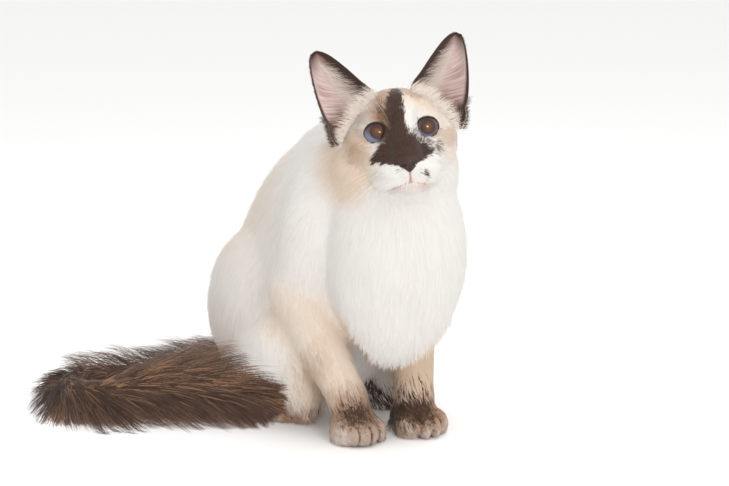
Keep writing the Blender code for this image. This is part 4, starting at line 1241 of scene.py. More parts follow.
class SkinProbe:
    """Finds the nearest places of the skin, and the normals there, for many points at once."""

    def __init__(self, skin: bpy.types.Object):
        self.group = bpy.data.node_groups.new("NearestSkin", "GeometryNodeTree")
        tree = self.group
        for way in ("INPUT", "OUTPUT"):
            tree.interface.new_socket("Geometry", in_out=way, socket_type="NodeSocketGeometry")
        source, result = tree.nodes.new("NodeGroupInput"), tree.nodes.new("NodeGroupOutput")
        info = tree.nodes.new("GeometryNodeObjectInfo")
        info.transform_space = "ORIGINAL"
        info.inputs["Object"].default_value = skin
        normal = tree.nodes.new("GeometryNodeInputNamedAttribute")
        normal.data_type = "FLOAT_VECTOR"
        normal.inputs["Name"].default_value = "skin_normal"
        place = tree.nodes.new("GeometryNodeInputPosition")
        flow = source.outputs["Geometry"]
        values = ("near", place.outputs["Position"]), ("near_normal", normal.outputs["Attribute"])
        for name, value in values:
            sample = tree.nodes.new("GeometryNodeSampleNearestSurface")
            sample.data_type = "FLOAT_VECTOR"
            tree.links.new(info.outputs["Geometry"], sample.inputs["Mesh"])
            tree.links.new(value, sample.inputs["Value"])
            store = tree.nodes.new("GeometryNodeStoreNamedAttribute")
            store.data_type = "FLOAT_VECTOR"
            store.inputs["Name"].default_value = name
            tree.links.new(flow, store.inputs["Geometry"])
            tree.links.new(sample.outputs["Value"], store.inputs["Value"])
            flow = store.outputs["Geometry"]
        tree.links.new(flow, result.inputs["Geometry"])

    def at(self, points: Rows) -> tuple[Rows, Rows]:
        """The nearest places of the skin and their normals."""
        mesh = bpy.data.meshes.new("probe")
        mesh.vertices.add(len(points))
        mesh.vertices.foreach_set("co", points.astype(np.float32).ravel())
        work = linked("probe", mesh)
        work.modifiers.new("nearest", "NODES").node_group = self.group
        found = with_modifiers(work)
        rows = []
        for name in ("near", "near_normal"):
            values = np.empty(len(points) * 3, np.float32)
            found.attributes[name].data.foreach_get("vector", values)
            rows.append(values.reshape(-1, 3).astype(float))
        bpy.data.objects.remove(work)
        bpy.data.meshes.remove(mesh)
        bpy.data.meshes.remove(found)
        return rows[0], unit(rows[1])


# Tufts


PROFILES = {3: (0.75, 1.0), 4: (0.70, 1.0, 0.72), 5: (0.60, 1.0, 0.85, 0.50)}


def mark_rows(count: int, seal: Rows | float, tan: float, cream: float) -> Rows:
    """One row of colour masks for each of a number of tufts."""
    return np.column_stack([np.broadcast_to(level, count) for level in (seal, tan, cream, 0.0)])


@dataclass
class Tufts:
    """Solid blades along paths: a triangle carried from root to tip, closed at the root, with a point."""

    paths: Rows
    normals: Rows
    widths: Rows
    roots_uv: Rows
    marks: Rows
    strand: Rows
    patch: float = 0.003
    softness: float = 0.95
    thickness: float = 0.16
    over_floor: float = 0.0003

    @property
    def rings(self) -> int:
        """How many three-sided rings a blade has below its tip."""
        return self.paths.shape[1] - 1

    def shared(self, rows: Rows) -> Rows:
        """Vectors of each station given to the three corners of its ring, and the last to the tip."""
        return np.concatenate((np.repeat(rows[:, :self.rings], 3, axis=1), rows[:, -1:]), axis=1)

    def blade(self) -> Rows:
        """One blade's triangles: walls between its rings, its root closed, its last ring joined to the tip."""
        k = np.arange(self.rings - 1)[:, None] * 3
        quads = [(0, 1, 4, 3), (1, 2, 5, 4), (2, 0, 3, 5)]
        walls = [k + np.array([(a, b, c), (a, c, d)]).reshape(1, 6) for a, b, c, d in quads]
        top, tip = (self.rings - 1) * 3, self.rings * 3
        ends = np.array([(0, 2, 1), (top, top + 1, tip), (top + 1, top + 2, tip), (top + 2, top, tip)])
        return np.concatenate((np.concatenate(walls).reshape(-1, 3), ends))

    def build(self, name: str) -> bpy.types.Object:
        """The blades as one mesh.

        Each corner's normal is mostly the skin's, so that the coat is lit as one surface, and the faces that look
        down at the skin have normals that do so too, with sharp edges between.

        Args:
            name: The object's name.

        Returns:
            The object, with its colour attributes, soft normals and map of patches. It throws no shadow.
        """
        count, rings, per = len(self.paths), self.rings, self.rings * 3 + 1
        tangents = unit(np.gradient(self.paths, axis=1))
        sides = unit(np.cross(tangents, self.normals))
        fronts = np.cross(sides, tangents)
        breadth = (self.widths[:, None] * np.array(PROFILES[rings + 1])[None])[..., None] / 2
        base, out, up = self.paths[:, :rings], sides[:, :rings] * breadth, fronts[:, :rings] * breadth
        corners = np.stack((base - out, base + out, base + up * 2 * self.thickness), axis=2)
        points = np.concatenate((corners.reshape(count, rings * 3, 3), self.paths[:, -1:]), axis=1)
        points[..., 2] = np.maximum(points[..., 2], self.over_floor)
        blade = outward(points[0], self.blade())
        faces = (blade[None] + (np.arange(count) * per)[:, None, None]).reshape(-1, 3)
        made = new_piece(name, points.reshape(-1, 3), faces)
        mesh = made.data

        along = np.append(np.repeat(np.arange(rings) / rings, 3), 1.0)
        give(mesh, "along", np.tile(along, count))
        give(mesh, "strand", np.repeat(self.strand, per))
        give(mesh, "marks", np.repeat(self.marks, per, axis=0))
        across = np.append(np.tile((0.0, 1.0, 0.5), rings), 0.5)
        offset = np.stack((across - 0.5, along - 0.5), axis=1) * self.patch
        places = (self.roots_uv[:, None] + offset[None]).reshape(-1, 2)
        layer = mesh.uv_layers.new(name="OFBake")
        layer.data.foreach_set("uv", np.clip(places[faces.ravel()], 0, 1).astype(np.float32).ravel())

        ways = np.stack((-sides[:, :rings], sides[:, :rings], fronts[:, :rings]), axis=2)
        ways = ways.reshape(count, rings * 3, 3)
        ways = np.concatenate((ways, fronts[:, -1:]), axis=1)
        soft = unit(ways * (1 - self.softness) + self.shared(self.normals) * self.softness)
        turned = soft.reshape(-1, 3)[faces]
        below = ~((faces % per % 3 == 2).any(axis=1))
        turned[below] = self.shared(-fronts).reshape(-1, 3)[faces[below]]
        layer = mesh.attributes.new("custom_normal", "FLOAT_VECTOR", "CORNER")
        layer.data.foreach_set("vector", turned.astype(np.float32).ravel())
        sharp = (edge_array(mesh) % per % 3 != 2).all(axis=1)
        mesh.attributes.new("sharp_edge", "BOOLEAN", "EDGE").data.foreach_set("value", sharp)
        made.visible_shadow = made.visible_diffuse = False
        log.info("%s: %d tufts, %d triangles", name, count, len(faces))
        return made


class CoatBuilder:
    """Grows tufts from the skin along the lie of the fur."""

    root_depth = 0.0006
    full_length = 0.004
    thinning = 0.35

    def __init__(self, skin: bpy.types.Object, body: Anatomy):
        self.body = body
        self.points, self.faces = arrays_of(skin.data)
        self.normals = vertex_normals(self.points, self.faces)
        give(skin.data, "skin_normal", self.normals)
        self.probe = SkinProbe(skin)
        a, b, c = (self.points[self.faces[:, k]] for k in range(3))
        self.middles = (a + b + c) / 3
        self.areas = np.linalg.norm(np.cross(b - a, c - a), axis=1) / 2
        self.open = self.bare_share(self.middles) * ~body.tail.claims(self.middles)
        distance = np.stack([
            np.min([bone.across(body.head, self.middles) for bone in piece.bones], axis=0) for piece in COAT_PIECES
        ])
        self.owner = distance.argmin(axis=0)
        _, self.sizes = in_chunks(body.lie.at, self.middles, self.normals[self.faces[:, 0]])

    def bare_share(self, points: Rows) -> Rows:
        """How thickly fur may grow: nowhere inside the eyes, on the leather or in the line of the mouth."""
        local = self.body.head.into(points)
        share = np.ones(len(points))
        for side in Side:
            eye = Eye(self.body.head, side)
            within = eye.into(points)
            near = np.linalg.norm(within, axis=1) < eye.near
            share *= np.where(near, ramp(eye.openness(within), 1.005, 1.03), 1)
        left, forward, up = local.T
        nose = np.maximum(NoseLeather.half_width(up), NoseLeather.half_width(up + 0.0008)) + 0.0007
        share *= 1 - (forward > 0.012) * (np.abs(left) < nose)
        share *= 1 - 0.8 * toe_grooves(points - self.body.head.shift)
        share *= ~self.body.mouth.bare(local)
        return share * (points[:, 2] > 0.0015)

    def roots(self, piece: CoatPiece, index: int, draw: np.random.Generator) -> Surface:
        """Evenly spread roots on the skin that the piece owns, denser where the fur is short.

        The running sum of area times density is cut into equal steps, one root in each.

        Args:
            piece: The piece of the coat.
            index: Its number among the pieces.
            draw: The source of chance.

        Returns:
            Places on the skin and the normals there.
        """
        chosen = np.flatnonzero((self.owner == index) & (self.open > 0.02))
        order = chosen[np.lexsort((self.middles[chosen, 0], np.round(self.middles[chosen, 2] / 0.003)))]
        density = (self.full_length / np.maximum(self.sizes[order, 0], self.full_length / 2)) ** self.thinning
        total = np.cumsum(self.areas[order] * density * self.open[order])
        steps = (np.arange(piece.count) + draw.uniform(0, 1, piece.count)) / piece.count * total[-1]
        faces = self.faces[order[np.minimum(np.searchsorted(total, steps), len(order) - 1)]]
        u, v = draw.uniform(0, 1, (2, piece.count))
        flip = u + v > 1
        u, v = np.where(flip, 1 - u, u), np.where(flip, 1 - v, v)
        weights = np.stack((1 - u - v, u, v), axis=1)[..., None]
        return (self.points[faces] * weights).sum(axis=1), unit((self.normals[faces] * weights).sum(axis=1))

    def grown(
        self, piece: CoatPiece, roots: Rows, normals: Rows, draw: np.random.Generator
    ) -> tuple[Rows, Rows, Rows]:
        """Paths of the tufts: each step follows the flow, then is set at its height over the skin.

        The height rises along the tuft as its length times the sine of its rise. On undersides the tuft hangs
        straight instead of following the skin.

        Args:
            piece: The piece of the coat.
            roots: Where its tufts start.
            normals: The skin's normals there.
            draw: The source of chance.

        Returns:
            Paths, the skin's normals along them and the widths.
        """
        count, steps = len(roots), piece.stations - 1
        flow, sizes = in_chunks(self.body.lie.at, roots, normals)
        length = sizes[:, 0] * draw.uniform(0.78, 1.18, count)
        rise = np.sin(sizes[:, 1]) * draw.uniform(0.75, 1.3, count)
        sway = waves(roots, 0.012, 31)[:, None] * 0.10 + draw.normal(0, piece.jitter, (count, 1))
        paths, ways = [roots - normals * self.root_depth], [normals]
        place, normal = roots, normals
        for share in np.linspace(0, 1, steps + 1)[1:]:
            way = unit(flow + np.cross(normal, flow) * sway)
            ahead = place + way * (length / steps)[:, None]
            near, near_normal = self.probe.at(ahead)
            height = length * rise * (1.5 * share - 0.5 * share**2)
            fall = ahead + normal * (height / steps)[:, None]
            hug = ramp(near_normal[:, 2], -0.55, -0.15)[:, None]
            paths.append((near + near_normal * height[:, None]) * hug + fall * (1 - hug))
            place = near * hug + fall * (1 - hug)
            normal = unit(near_normal * hug + normal * (1 - hug))
            ways.append(normal)
            next_flow, _ = in_chunks(self.body.lie.at, place, normal)
            flow = unit(next_flow * hug + (way - UP * 0.25) * (1 - hug))
        return np.stack(paths, axis=1), np.stack(ways, axis=1), sizes[:, 2] * draw.uniform(0.75, 1.25, count)

    def build(self, piece: CoatPiece, index: int) -> bpy.types.Object:
        """One piece of the coat, its map unwrapped round the bones that its tufts grow on."""
        head, draw = self.body.head, np.random.default_rng(100 + index)
        roots, normals = self.roots(piece, index, draw)
        paths, ways, widths = self.grown(piece, roots, normals, draw)
        paths = piece.clumps.gathered(paths, draw)
        owner = np.stack([bone.across(head, roots) for bone in piece.bones]).argmin(axis=0)
        maps = np.stack([bone.unwrapped(head, roots) for bone in piece.bones])[owner, np.arange(len(roots))]
        maps[:, 0] = (maps[:, 0] + owner) / len(piece.bones)
        tufts = Tufts(paths, ways, widths, maps, self.body.marks.masks(roots), draw.uniform(0, 1, len(roots)))
        return tufts.build(piece.name)


@dataclass(frozen=True)
class TailCoat:
    """One stretch of the plume: long tufts that lean towards the tip and spread on the floor."""

    tail: TailLine
    name: str
    count: int
    span: tuple[float, float]
    seed: int
    crest: float = 0.55
    turn_crest: float = -0.85
    length: float = 1.28
    droop: float = 0.28
    lift: float = math.radians(52)
    stations: int = 5
    widths: tuple[float, float] = (0.45, 0.80)
    clumps: Clumps = Clumps(22, 0.55, 1.3, (0.4, 1.3), 1)

    def marks(self, roots: Rows, turned: Rows, draw: np.random.Generator) -> Rows:
        """The masks of the tufts: seal all over; lighter in streaks above, partly the hair's own streaks and partly a
        painted highlight, and lighter below as painted light from the floor.

        Args:
            roots: Where the tufts start.
            turned: Which way each leaves the tail.
            draw: The source of chance.

        Returns:
            One row of masks a tuft.
        """
        # The top is painted lighter in streaks where light falls from above, the underside lighter as painted light
        # thrown up from the floor.
        top, under = ramp(turned[:, 2], 0.0, 0.9), ramp(-turned[:, 2], 0.25, 0.9)
        streak = ramp(waves(roots, 0.010, 41) + draw.normal(0, 0.5, self.count), -0.6, 1.2)
        return mark_rows(self.count, 0.84 - 0.42 * top * streak - 0.14 * streak - 0.28 * under, 1.0, 1.0)

    def build(self) -> bpy.types.Object:
        """The tufts of this stretch: roots over the core, each path bending from outwards to along the tail."""
        draw = np.random.default_rng(self.seed)
        centres, along, radii = self.tail.rows(24)
        station = draw.uniform(*self.span, self.count) * (len(centres) - 1)
        low = np.minimum(station.astype(int), len(centres) - 2)
        part = (station - low)[:, None]
        centre = centres[low] * (1 - part) + centres[low + 1] * part
        way = unit(along[low] * (1 - part) + along[low + 1] * part)
        radius = radii[low] * (1 - part[:, 0]) + radii[low + 1] * part[:, 0]
        share = station / (len(centres) - 1)
        side = unit(np.cross(way, UP))
        angle = draw.uniform(0, 2 * math.pi, self.count)
        angle = angle + 0.35 * np.sin(angle) * (np.sin(angle) < 0)
        radial = side * np.cos(angle)[:, None] + np.cross(side, way) * np.sin(angle)[:, None]

        length = radius * self.length * draw.uniform(0.80, 1.12, self.count)
        crest = (self.crest - self.turn_crest) * ramp(np.abs(share - 0.52), 0.07, 0.20) + self.turn_crest
        length = length * (1 + crest * ramp(radial[:, 2], 0.10, 0.95))
        lift = self.lift * draw.uniform(0.75, 1.15, self.count) * (1 - 0.45 * ramp(share, 0.93, 1.0))
        sway = waves(np.stack((station * 0.02, angle), axis=1), 0.9, 3) * 0.10
        sway = sway + draw.normal(0, 0.07, self.count)
        turned = unit(radial + np.cross(way, radial) * sway[:, None])
        core = radius * self.tail.core * (1.25 - 0.5 * share)
        place = centre - UP * self.tail.sag * radius[:, None] + turned * (core * 0.9)[:, None]
        paths = [place]
        for t in np.linspace(0, 1, self.stations)[1:]:
            now = lift * (1.25 - 0.75 * t)
            step = way * np.cos(now)[:, None] + turned * np.sin(now)[:, None] - UP * self.droop * t
            place = place + unit(step) * (length / (self.stations - 1))[:, None]
            place[:, 2] = np.maximum(place[:, 2], 0.0006 + 0.0012 * draw.uniform(0, 1, self.count))
            paths.append(place)
        paths = self.clumps.gathered(np.stack(paths, axis=1), draw)
        ways = np.repeat(turned[:, None], self.stations, axis=1)
        marks = self.marks(paths[:, 0], turned, draw)
        first, last = self.span
        maps = np.stack(((share - first) / (last - first), (angle / (2 * math.pi)) % 1.0), axis=1)
        widths = draw.uniform(*self.widths, self.count) * MM
        return Tufts(paths, ways, widths, maps, marks, draw.uniform(0, 1, self.count)).build(self.name)


# Nose, ears and whiskers


@dataclass(frozen=True)
class NoseLeather:
    """The nose leather: a cushion on the head's own surface, wide above, narrow below, with two nostrils."""

    head: HeadFrame
    shape: HeadShape
    raised: float = 0.0005
    deep: float = 0.0011
    under: float = 0.0036
    low: float = -0.03375
    top: float = -0.02105
    nostril: tuple[float, float] = (0.0040, -0.0282)
    nostril_half: tuple[float, float] = (0.0019, 0.0010)

    @staticmethod
    def half_width(up: Rows) -> Rows:
        """Half the leather's width at each height: a smooth outline through named stations."""
        heights = (-0.0338, -0.0330, -0.0318, -0.0300, -0.0280, -0.0260, -0.0240, -0.0225, -0.0215, -0.0210)
        halves = (0.0, 0.0016, 0.0028, 0.0048, 0.0068, 0.0078, 0.0076, 0.0064, 0.0040, 0.0)
        return np.interp(up, heights, halves, left=0, right=0)

    def pits(self, left: Rows, up: Rows) -> Rows:
        """How deep the nostrils are: smooth falls of the distance in a slanted oval and a slit beside it."""
        found = np.zeros_like(left)
        for sign in (1, -1):
            x, y = sign * left - self.nostril[0], up - self.nostril[1]
            along, over = x * 0.86 - y * 0.5, x * 0.5 + y * 0.86
            spread = np.hypot(along / self.nostril_half[0], (over - 0.16 * x) / self.nostril_half[1])
            slit = np.hypot((x - 0.0022) / 0.0022, (y - 0.0004) / 0.00045)
            found += self.deep * (1 - ramp(spread, 0.35, 1.25)) + self.deep * 0.5 * (1 - ramp(slit, 0.3, 1.2))
        return found

    def build(self, rows: int = 64, columns: int = 72) -> bpy.types.Object:
        """The leather as a closed wall, raised like a cushion, with a groove down its middle.

        Args:
            rows: Points by height.
            columns: Points across.

        Returns:
            The piece, with the depth of its nostrils stored.
        """
        up = np.linspace(self.low, self.top, rows)[:, None] + np.zeros((1, columns))
        across = np.linspace(-1, 1, columns)[None] + np.zeros((rows, 1))
        left = self.half_width(up) * across
        forward, pits = self.shape.front(left, up), self.pits(left, up)
        edge = np.minimum(1 - np.abs(across), np.minimum(up - self.low, self.top - up) / 0.003)
        cushion = self.raised * ramp(edge, 0.0, 0.35) - 0.0004 * (1 - ramp(edge, 0.0, 0.2))
        groove = 0.0006 * bell(left, 0.0005) * ramp(-up, 0.0265, 0.0290)
        front = np.stack((left, forward + cushion - groove - pits, up), axis=-1)
        back = np.stack((left * 0.98, forward - self.under, up), axis=-1)
        made = new_piece("nose_leather", *shell(self.head.out(front), self.head.out(back)))
        share = np.clip(pits / self.deep, 0, 1).ravel()
        give(made.data, "pit", np.concatenate((share, np.zeros(rows * columns))))
        return made


# Where a short hair of three stations has each of them, as shares of its length.
HAIR_STEPS = np.array((0.0, 0.5, 1.0))
Hairs = tuple[Rows, Rows, Rows, Rows]


@dataclass(frozen=True)
class Ear:
    """One ear: a cupped leaf between its inner and outer edge, and its fur.

    The edges, the line of the fringe, the cup and the wall are millimetres, and the fur's counts are hairs.
    """

    head: HeadFrame
    side: Side
    rows: int = 73
    columns: int = 49
    swing_height: float = 0.010
    back_hairs: int = 3600
    rim_hairs: int = 2200
    inner_hairs: int = 620
    skirt_hairs: int = 700
    fringe_hairs: int = 520
    inner_edge: tuple[Triple, ...] = (
        (15, -24, 24), (16, -22, 33.5), (24, -19, 42.5), (33.5, -16.5, 53.5), (43, -15.5, 63.2), (50, -15.5, 68),
        (55.6, -16.8, 69.2),
    )
    outer_edge: tuple[Triple, ...] = (
        (48.5, -17.5, -5.5), (52.5, -14, 2), (55.2, -12, 12.5), (58, -11.5, 24), (60.2, -13, 39), (60.8, -15, 55),
        (59.2, -16.8, 67),
    )
    fringe_line: tuple[Triple, ...] = (
        (12.5, -13.5, 29), (23, -13, 22.5), (32, -15, 13), (38.5, -18, 3), (43, -21, -5),
    )
    cup: tuple[float, ...] = (23, 22.5, 21, 17.5, 12, 6.5, 2.5)
    wall: tuple[float, ...] = (4, 3.2, 2.3, 1.7, 1.3, 1.1, 0.9)

    @property
    def swing(self) -> float:
        """How far this ear is turned outwards about the axis of the head."""
        return 0.0 if self.side is Side.LEFT else math.radians(0.5)

    def world(self, local: Rows) -> Rows:
        """Places of the left ear's pattern, (left, forward, up), in the solids' frame, mirrored on the right."""
        sign, pivot = self.side.value, UP * self.swing_height
        turn = np.array(Matrix.Rotation(sign * self.swing, 3, "Y"))
        placed = (local * (sign, -1, 1) - pivot) @ turn.T + pivot
        return self.head.out(placed * (1, -1, 1))

    def sheet(self) -> tuple[Rows, Rows, Rows]:
        """The leaf's middle surface: straight rows between the edges, hollowed by a half sine, folded below.

        Returns:
            Places and facings, rows from base to tip and columns from the inner edge, and each row's thickness.
        """
        spans = (self.rows - 1) // (len(self.inner_edge) - 1)
        edges = self.inner_edge, self.outer_edge
        inner, outer = (smooth_rows(np.array(edge) * MM, spans) for edge in edges)
        cup, wall = (smooth_rows(np.array(sizes)[:, None] * MM, spans) for sizes in (self.cup, self.wall))
        across = np.linspace(0, 1, self.columns)
        middle = inner[:, None] + (outer - inner)[:, None] * across[None, :, None]
        height = np.linspace(0, 1, len(inner))[:, None]
        hollow = cup * np.sin(np.pi * across)[None] ** 0.8
        folds = 0.0011 * np.sin(across[None] * 19 + height * 3) * (1 - ramp(height, 0.12, 0.55))
        ridge = 0.0016 * bell(across[None] - 0.80 + 0.25 * height, 0.05) * (1 - ramp(height, 0.10, 0.42))
        middle[..., 1] -= hollow - folds - ridge
        middle[..., 0] -= 0.0013 * bell(height - 0.30, 0.050) * ramp(across[None], 0.86, 1.0)
        facing = unit(np.cross(np.gradient(middle, axis=1), np.gradient(middle, axis=0)))
        return middle, facing * np.sign(facing[..., 1].mean()), wall

    def at(self, height: Rows, across: Rows, lift: Rows) -> tuple[Rows, Rows]:
        """Places over the leaf and its facing there, by bilinear reading of its grid.

        Args:
            height: Shares of the way from base to tip.
            across: Shares of the way from the inner to the outer edge.
            lift: Distances from the leaf's front, or from its back where they are below zero.

        Returns:
            Places and directions in the frame of the solids.
        """
        middle, facing, wall = self.sheet()
        row = np.clip(height, 0, 1) * (len(middle) - 1)
        column = np.clip(across, 0, 1) * (self.columns - 1)
        i, j = np.minimum(row.astype(int), len(middle) - 2), np.minimum(column.astype(int), self.columns - 2)
        a, b = (row - i)[..., None], (column - j)[..., None]

        def read(grid: Rows) -> Rows:
            """The grid's values between its four nearest points."""
            top = grid[i, j] * (1 - b) + grid[i, j + 1] * b
            return top * (1 - a) + (grid[i + 1, j] * (1 - b) + grid[i + 1, j + 1] * b) * a

        ways = unit(read(facing))
        thick = np.interp(height, np.linspace(0, 1, len(wall)), wall[:, 0]) / 2
        places = read(middle) + ways * (lift + np.where(lift < 0, -1, 1) * thick)[..., None]
        world = self.world(places)
        return world, unit(self.world(places + ways * 0.001) - world)

    def leaf(self) -> bpy.types.Object:
        """The leaf as a closed wall that thins to its rim, with its distance from it and its height stored."""
        middle, facing, wall = self.sheet()
        across = np.linspace(0, 1, self.columns)[None] + np.zeros((len(middle), 1))
        height = np.linspace(0, 1, len(middle))[:, None] + 0 * across
        thin = 0.35 + 0.65 * np.sin(np.pi * across) ** 0.5
        half = facing * (wall * thin / 2)[..., None]
        sides = self.world(middle + half), self.world(middle - half)
        made = new_piece("ear_leaf_" + self.side.word, *shell(*sides))
        edge = np.minimum(across * 0.55, np.minimum((1 - across) * 3.2, (1 - height) * 0.9))
        for name, values in (("across", across), ("edge", edge), ("height", height)):
            give(made.data, name, np.tile(values.ravel(), 2))
        give(made.data, "inside", np.repeat((1.0, 0.0), edge.size))
        return made

    def back_fur(self, draw: np.random.Generator) -> Hairs:
        """Short brown fur on the ear's back, growing towards the tip."""
        count = self.back_hairs
        height, across = draw.uniform(0.02, 0.93, count), draw.uniform(0.05, 0.95, count)
        grow = (0.0030 + 0.003 * (1 - height)) / 0.075 * draw.uniform(0.7, 1.3, count)
        rows = height[:, None] + grow[:, None] * HAIR_STEPS
        lift = -(0.0001 + 0.0011 * HAIR_STEPS**0.8 * draw.uniform(0.5, 1.3, (count, 1)))
        places, ways = self.at(rows, across[:, None] + 0 * rows, lift)
        brown = mark_rows(count, 0.35 + 0.35 * (1 - across), 1.0, 1.0)
        return places, -ways, draw.uniform(0.28, 0.42, count) * MM, brown

    def rim_fur(self, draw: np.random.Generator) -> Hairs:
        """Fine dark fur along both edges, wider on the inner one."""
        count = self.rim_hairs
        height = draw.uniform(0.05, 1.0, count)
        edge = np.where(draw.uniform(0, 1, count) < 0.5, 0.0, 1.0)
        inward = draw.uniform(0.0, 1.0, count) ** 1.5 * np.where(edge > 0, -0.03, 0.14)
        rows = height[:, None] + 0.030 * HAIR_STEPS * draw.uniform(0.6, 1.3, (count, 1))
        lift = 0.0001 + 0.0002 * HAIR_STEPS * draw.uniform(0.3, 1.2, (count, 1))
        places, ways = self.at(rows, (edge + inward)[:, None] + 0 * rows, lift)
        return places, ways, draw.uniform(0.22, 0.34, count) * MM, mark_rows(count, 0.85, 1.0, 1.0)

    def inner_hair(self, draw: np.random.Generator) -> Hairs:
        """Long pale hair that grows from the inner edge over the opening."""
        count = self.inner_hairs
        height = 0.60 * draw.uniform(0, 1, count) ** 2.4
        across = 0.02 + 0.26 * draw.uniform(0, 1, count)
        reach = draw.uniform(0.16, 0.42, count) * (1 - 0.5 * height)
        climb = draw.uniform(0.10, 0.30, count)
        starts = (height, climb), (across, reach)
        rows, spans = (start[:, None] + way[:, None] * HAIR_STEPS for start, way in starts)
        lift = 0.0008 + 0.0050 * np.sin(HAIR_STEPS * 1.9) * draw.uniform(0.4, 1.3, (count, 1))
        places, ways = self.at(rows, spans, lift)
        return places, ways, draw.uniform(0.12, 0.20, count) * MM, mark_rows(count, 0.0, 0.05, 0.4)

    def skirt(self, draw: np.random.Generator) -> Hairs:
        """Dark hair that stands off the outer edge near its base."""
        count = self.skirt_hairs
        height, across = draw.uniform(0.0, 0.40, count), draw.uniform(0.90, 1.0, count)
        rows = height[:, None] + 0.035 * HAIR_STEPS * draw.uniform(0.2, 1.3, (count, 1))
        lift = -(0.0001 + 0.0038 * HAIR_STEPS * draw.uniform(0.3, 1.2, (count, 1)))
        places, ways = self.at(rows, across[:, None] + 0 * rows, lift)
        return places, ways, draw.uniform(0.26, 0.42, count) * MM, mark_rows(count, 0.85, 1.0, 1.0)

    def fringe(self, draw: np.random.Generator) -> Hairs:
        """The pale fringe before the ear's opening: hairs rooted on a line of the head, pointing out and up."""
        count, sign = self.fringe_hairs, self.side.value
        share = draw.uniform(0, 1, count)
        spine = smooth_rows(np.array(self.fringe_line) * MM, 24)
        root = spine[(share * (len(spine) - 1)).astype(int)] + draw.normal(0, 0.0016, (count, 3))
        way = np.stack((0.80 + 0.15 * share, -0.15 + 0 * share, 0.60 - 0.55 * share), axis=1)
        way = unit(way + draw.normal(0, 0.14, (count, 3)))
        reach = draw.uniform(0.007, 0.014, count)[:, None, None] * HAIR_STEPS[None, :, None]
        lift = 0.0030 * np.sin(HAIR_STEPS * 2.4)[None, :, None] * np.array((0.0, 1.0, 0.0))
        places = self.head.out((root[:, None] + way[:, None] * reach + lift) * (sign, 1, 1))
        ways = np.broadcast_to(self.head.turned(np.array((sign * 0.3, 0.95, 0.2))), places.shape)
        return places, ways, draw.uniform(0.22, 0.36, count) * MM, mark_rows(count, 0.0, 0.06, 0.5)

    def fur(self) -> bpy.types.Object:
        """All the ear's hair as one piece."""
        draw = np.random.default_rng(60 + self.side.value)
        kinds = (self.back_fur, self.rim_fur, self.inner_hair, self.skirt, self.fringe)
        paths, ways, widths, marks = (np.concatenate(rows) for rows in zip(*[kind(draw) for kind in kinds]))
        maps = draw.uniform(0.01, 0.99, (len(paths), 2))
        maps[:self.back_hairs] = draw.uniform(0, 1, (2, self.back_hairs)).T
        tufts = Tufts(paths, ways, widths, maps, marks, draw.uniform(0, 1, len(paths)))
        return tufts.build("ear_fur_" + self.side.word)


@dataclass(frozen=True)
class Whiskers:
    """The bristles of muzzle and brow. A row is its height, its first and last place across and its count.

    A bristle's size is its radius at the root and how deep in the face it is rooted.
    """

    head: HeadFrame
    shape: HeadShape
    size: Pair = (0.00016, 0.0006)
    brow_size: Pair = (0.00010, 0.0005)
    rows: tuple[tuple[float, float, float, int], ...] = (
        (-0.0275, 0.0105, 0.0200, 4), (-0.0310, 0.0095, 0.0210, 4), (-0.0345, 0.0100, 0.0200, 3),
    )
    brow: tuple[tuple[float, float], ...] = ((0.0165, 0.0155), (0.0190, 0.0165), (0.0215, 0.0160))

    def bristle(self, left: float, up: float, way: Triple, length: float, droop: float, size: Pair) -> Surface:
        """One bristle: a thin tapering tube from the face, drooping with the square of its length.

        Args:
            left: Its place across the face.
            up: Its height.
            way: Its direction at the root, in the head frame.
            length: Its length.
            droop: How far it droops, as a share of its length.
            size: Its radius at the root and how deep it is rooted.

        Returns:
            Points and triangles.
        """
        forward = float(self.shape.front(np.array([left]), np.array([up]))[0])
        radius, sunk = size
        start = self.head.out(np.array((left, forward - sunk, up)))
        way = unit(self.head.turned(np.array(way)))
        t = np.linspace(0, 1, 14)[:, None]
        path = start + way * length * t - UP * droop * length * t**2
        return tube(path, radius * (1.02 - t[:, 0] ** 1.2), 5)

    def build(self) -> bpy.types.Object:
        """All bristles as one piece: swept further back and a little shorter on the left."""
        draw = np.random.default_rng(5)
        parts = []
        for side in Side:
            sign, back, share = side.value, *((0.12, 1.0) if side is Side.RIGHT else (0.55, 0.8))
            for up, first, last, count in self.rows:
                for left in np.linspace(first, last, count):
                    height = up + draw.normal(0, 0.0005)
                    tilt = (up + 0.031) * 55 + draw.normal(0, 0.10)
                    way = (sign * 0.85, -back - 12 * (left - 0.014), -0.42 + tilt)
                    length = draw.uniform(0.032, 0.050) * share
                    droop = draw.uniform(0.02, 0.25)
                    parts.append(self.bristle(sign * left, height, way, length, droop, self.size))
            for left, up in self.brow:
                way = (sign * 0.35, 0.35, 0.85 + draw.normal(0, 0.12))
                length = draw.uniform(0.018, 0.028)
                parts.append(self.bristle(sign * left, up, way, length, 0.05, self.brow_size))
        return new_piece("whiskers", *joined(parts))


# Materials


def linear(red: float, green: float, blue: float) -> tuple[float, float, float, float]:
    """A colour given by its eight-bit screen values, as linear light."""
    values = [c / 255 for c in (red, green, blue)]
    return (*(c / 12.92 if c <= 0.04045 else ((c + 0.055) / 1.055) ** 2.4 for c in values), 1.0)


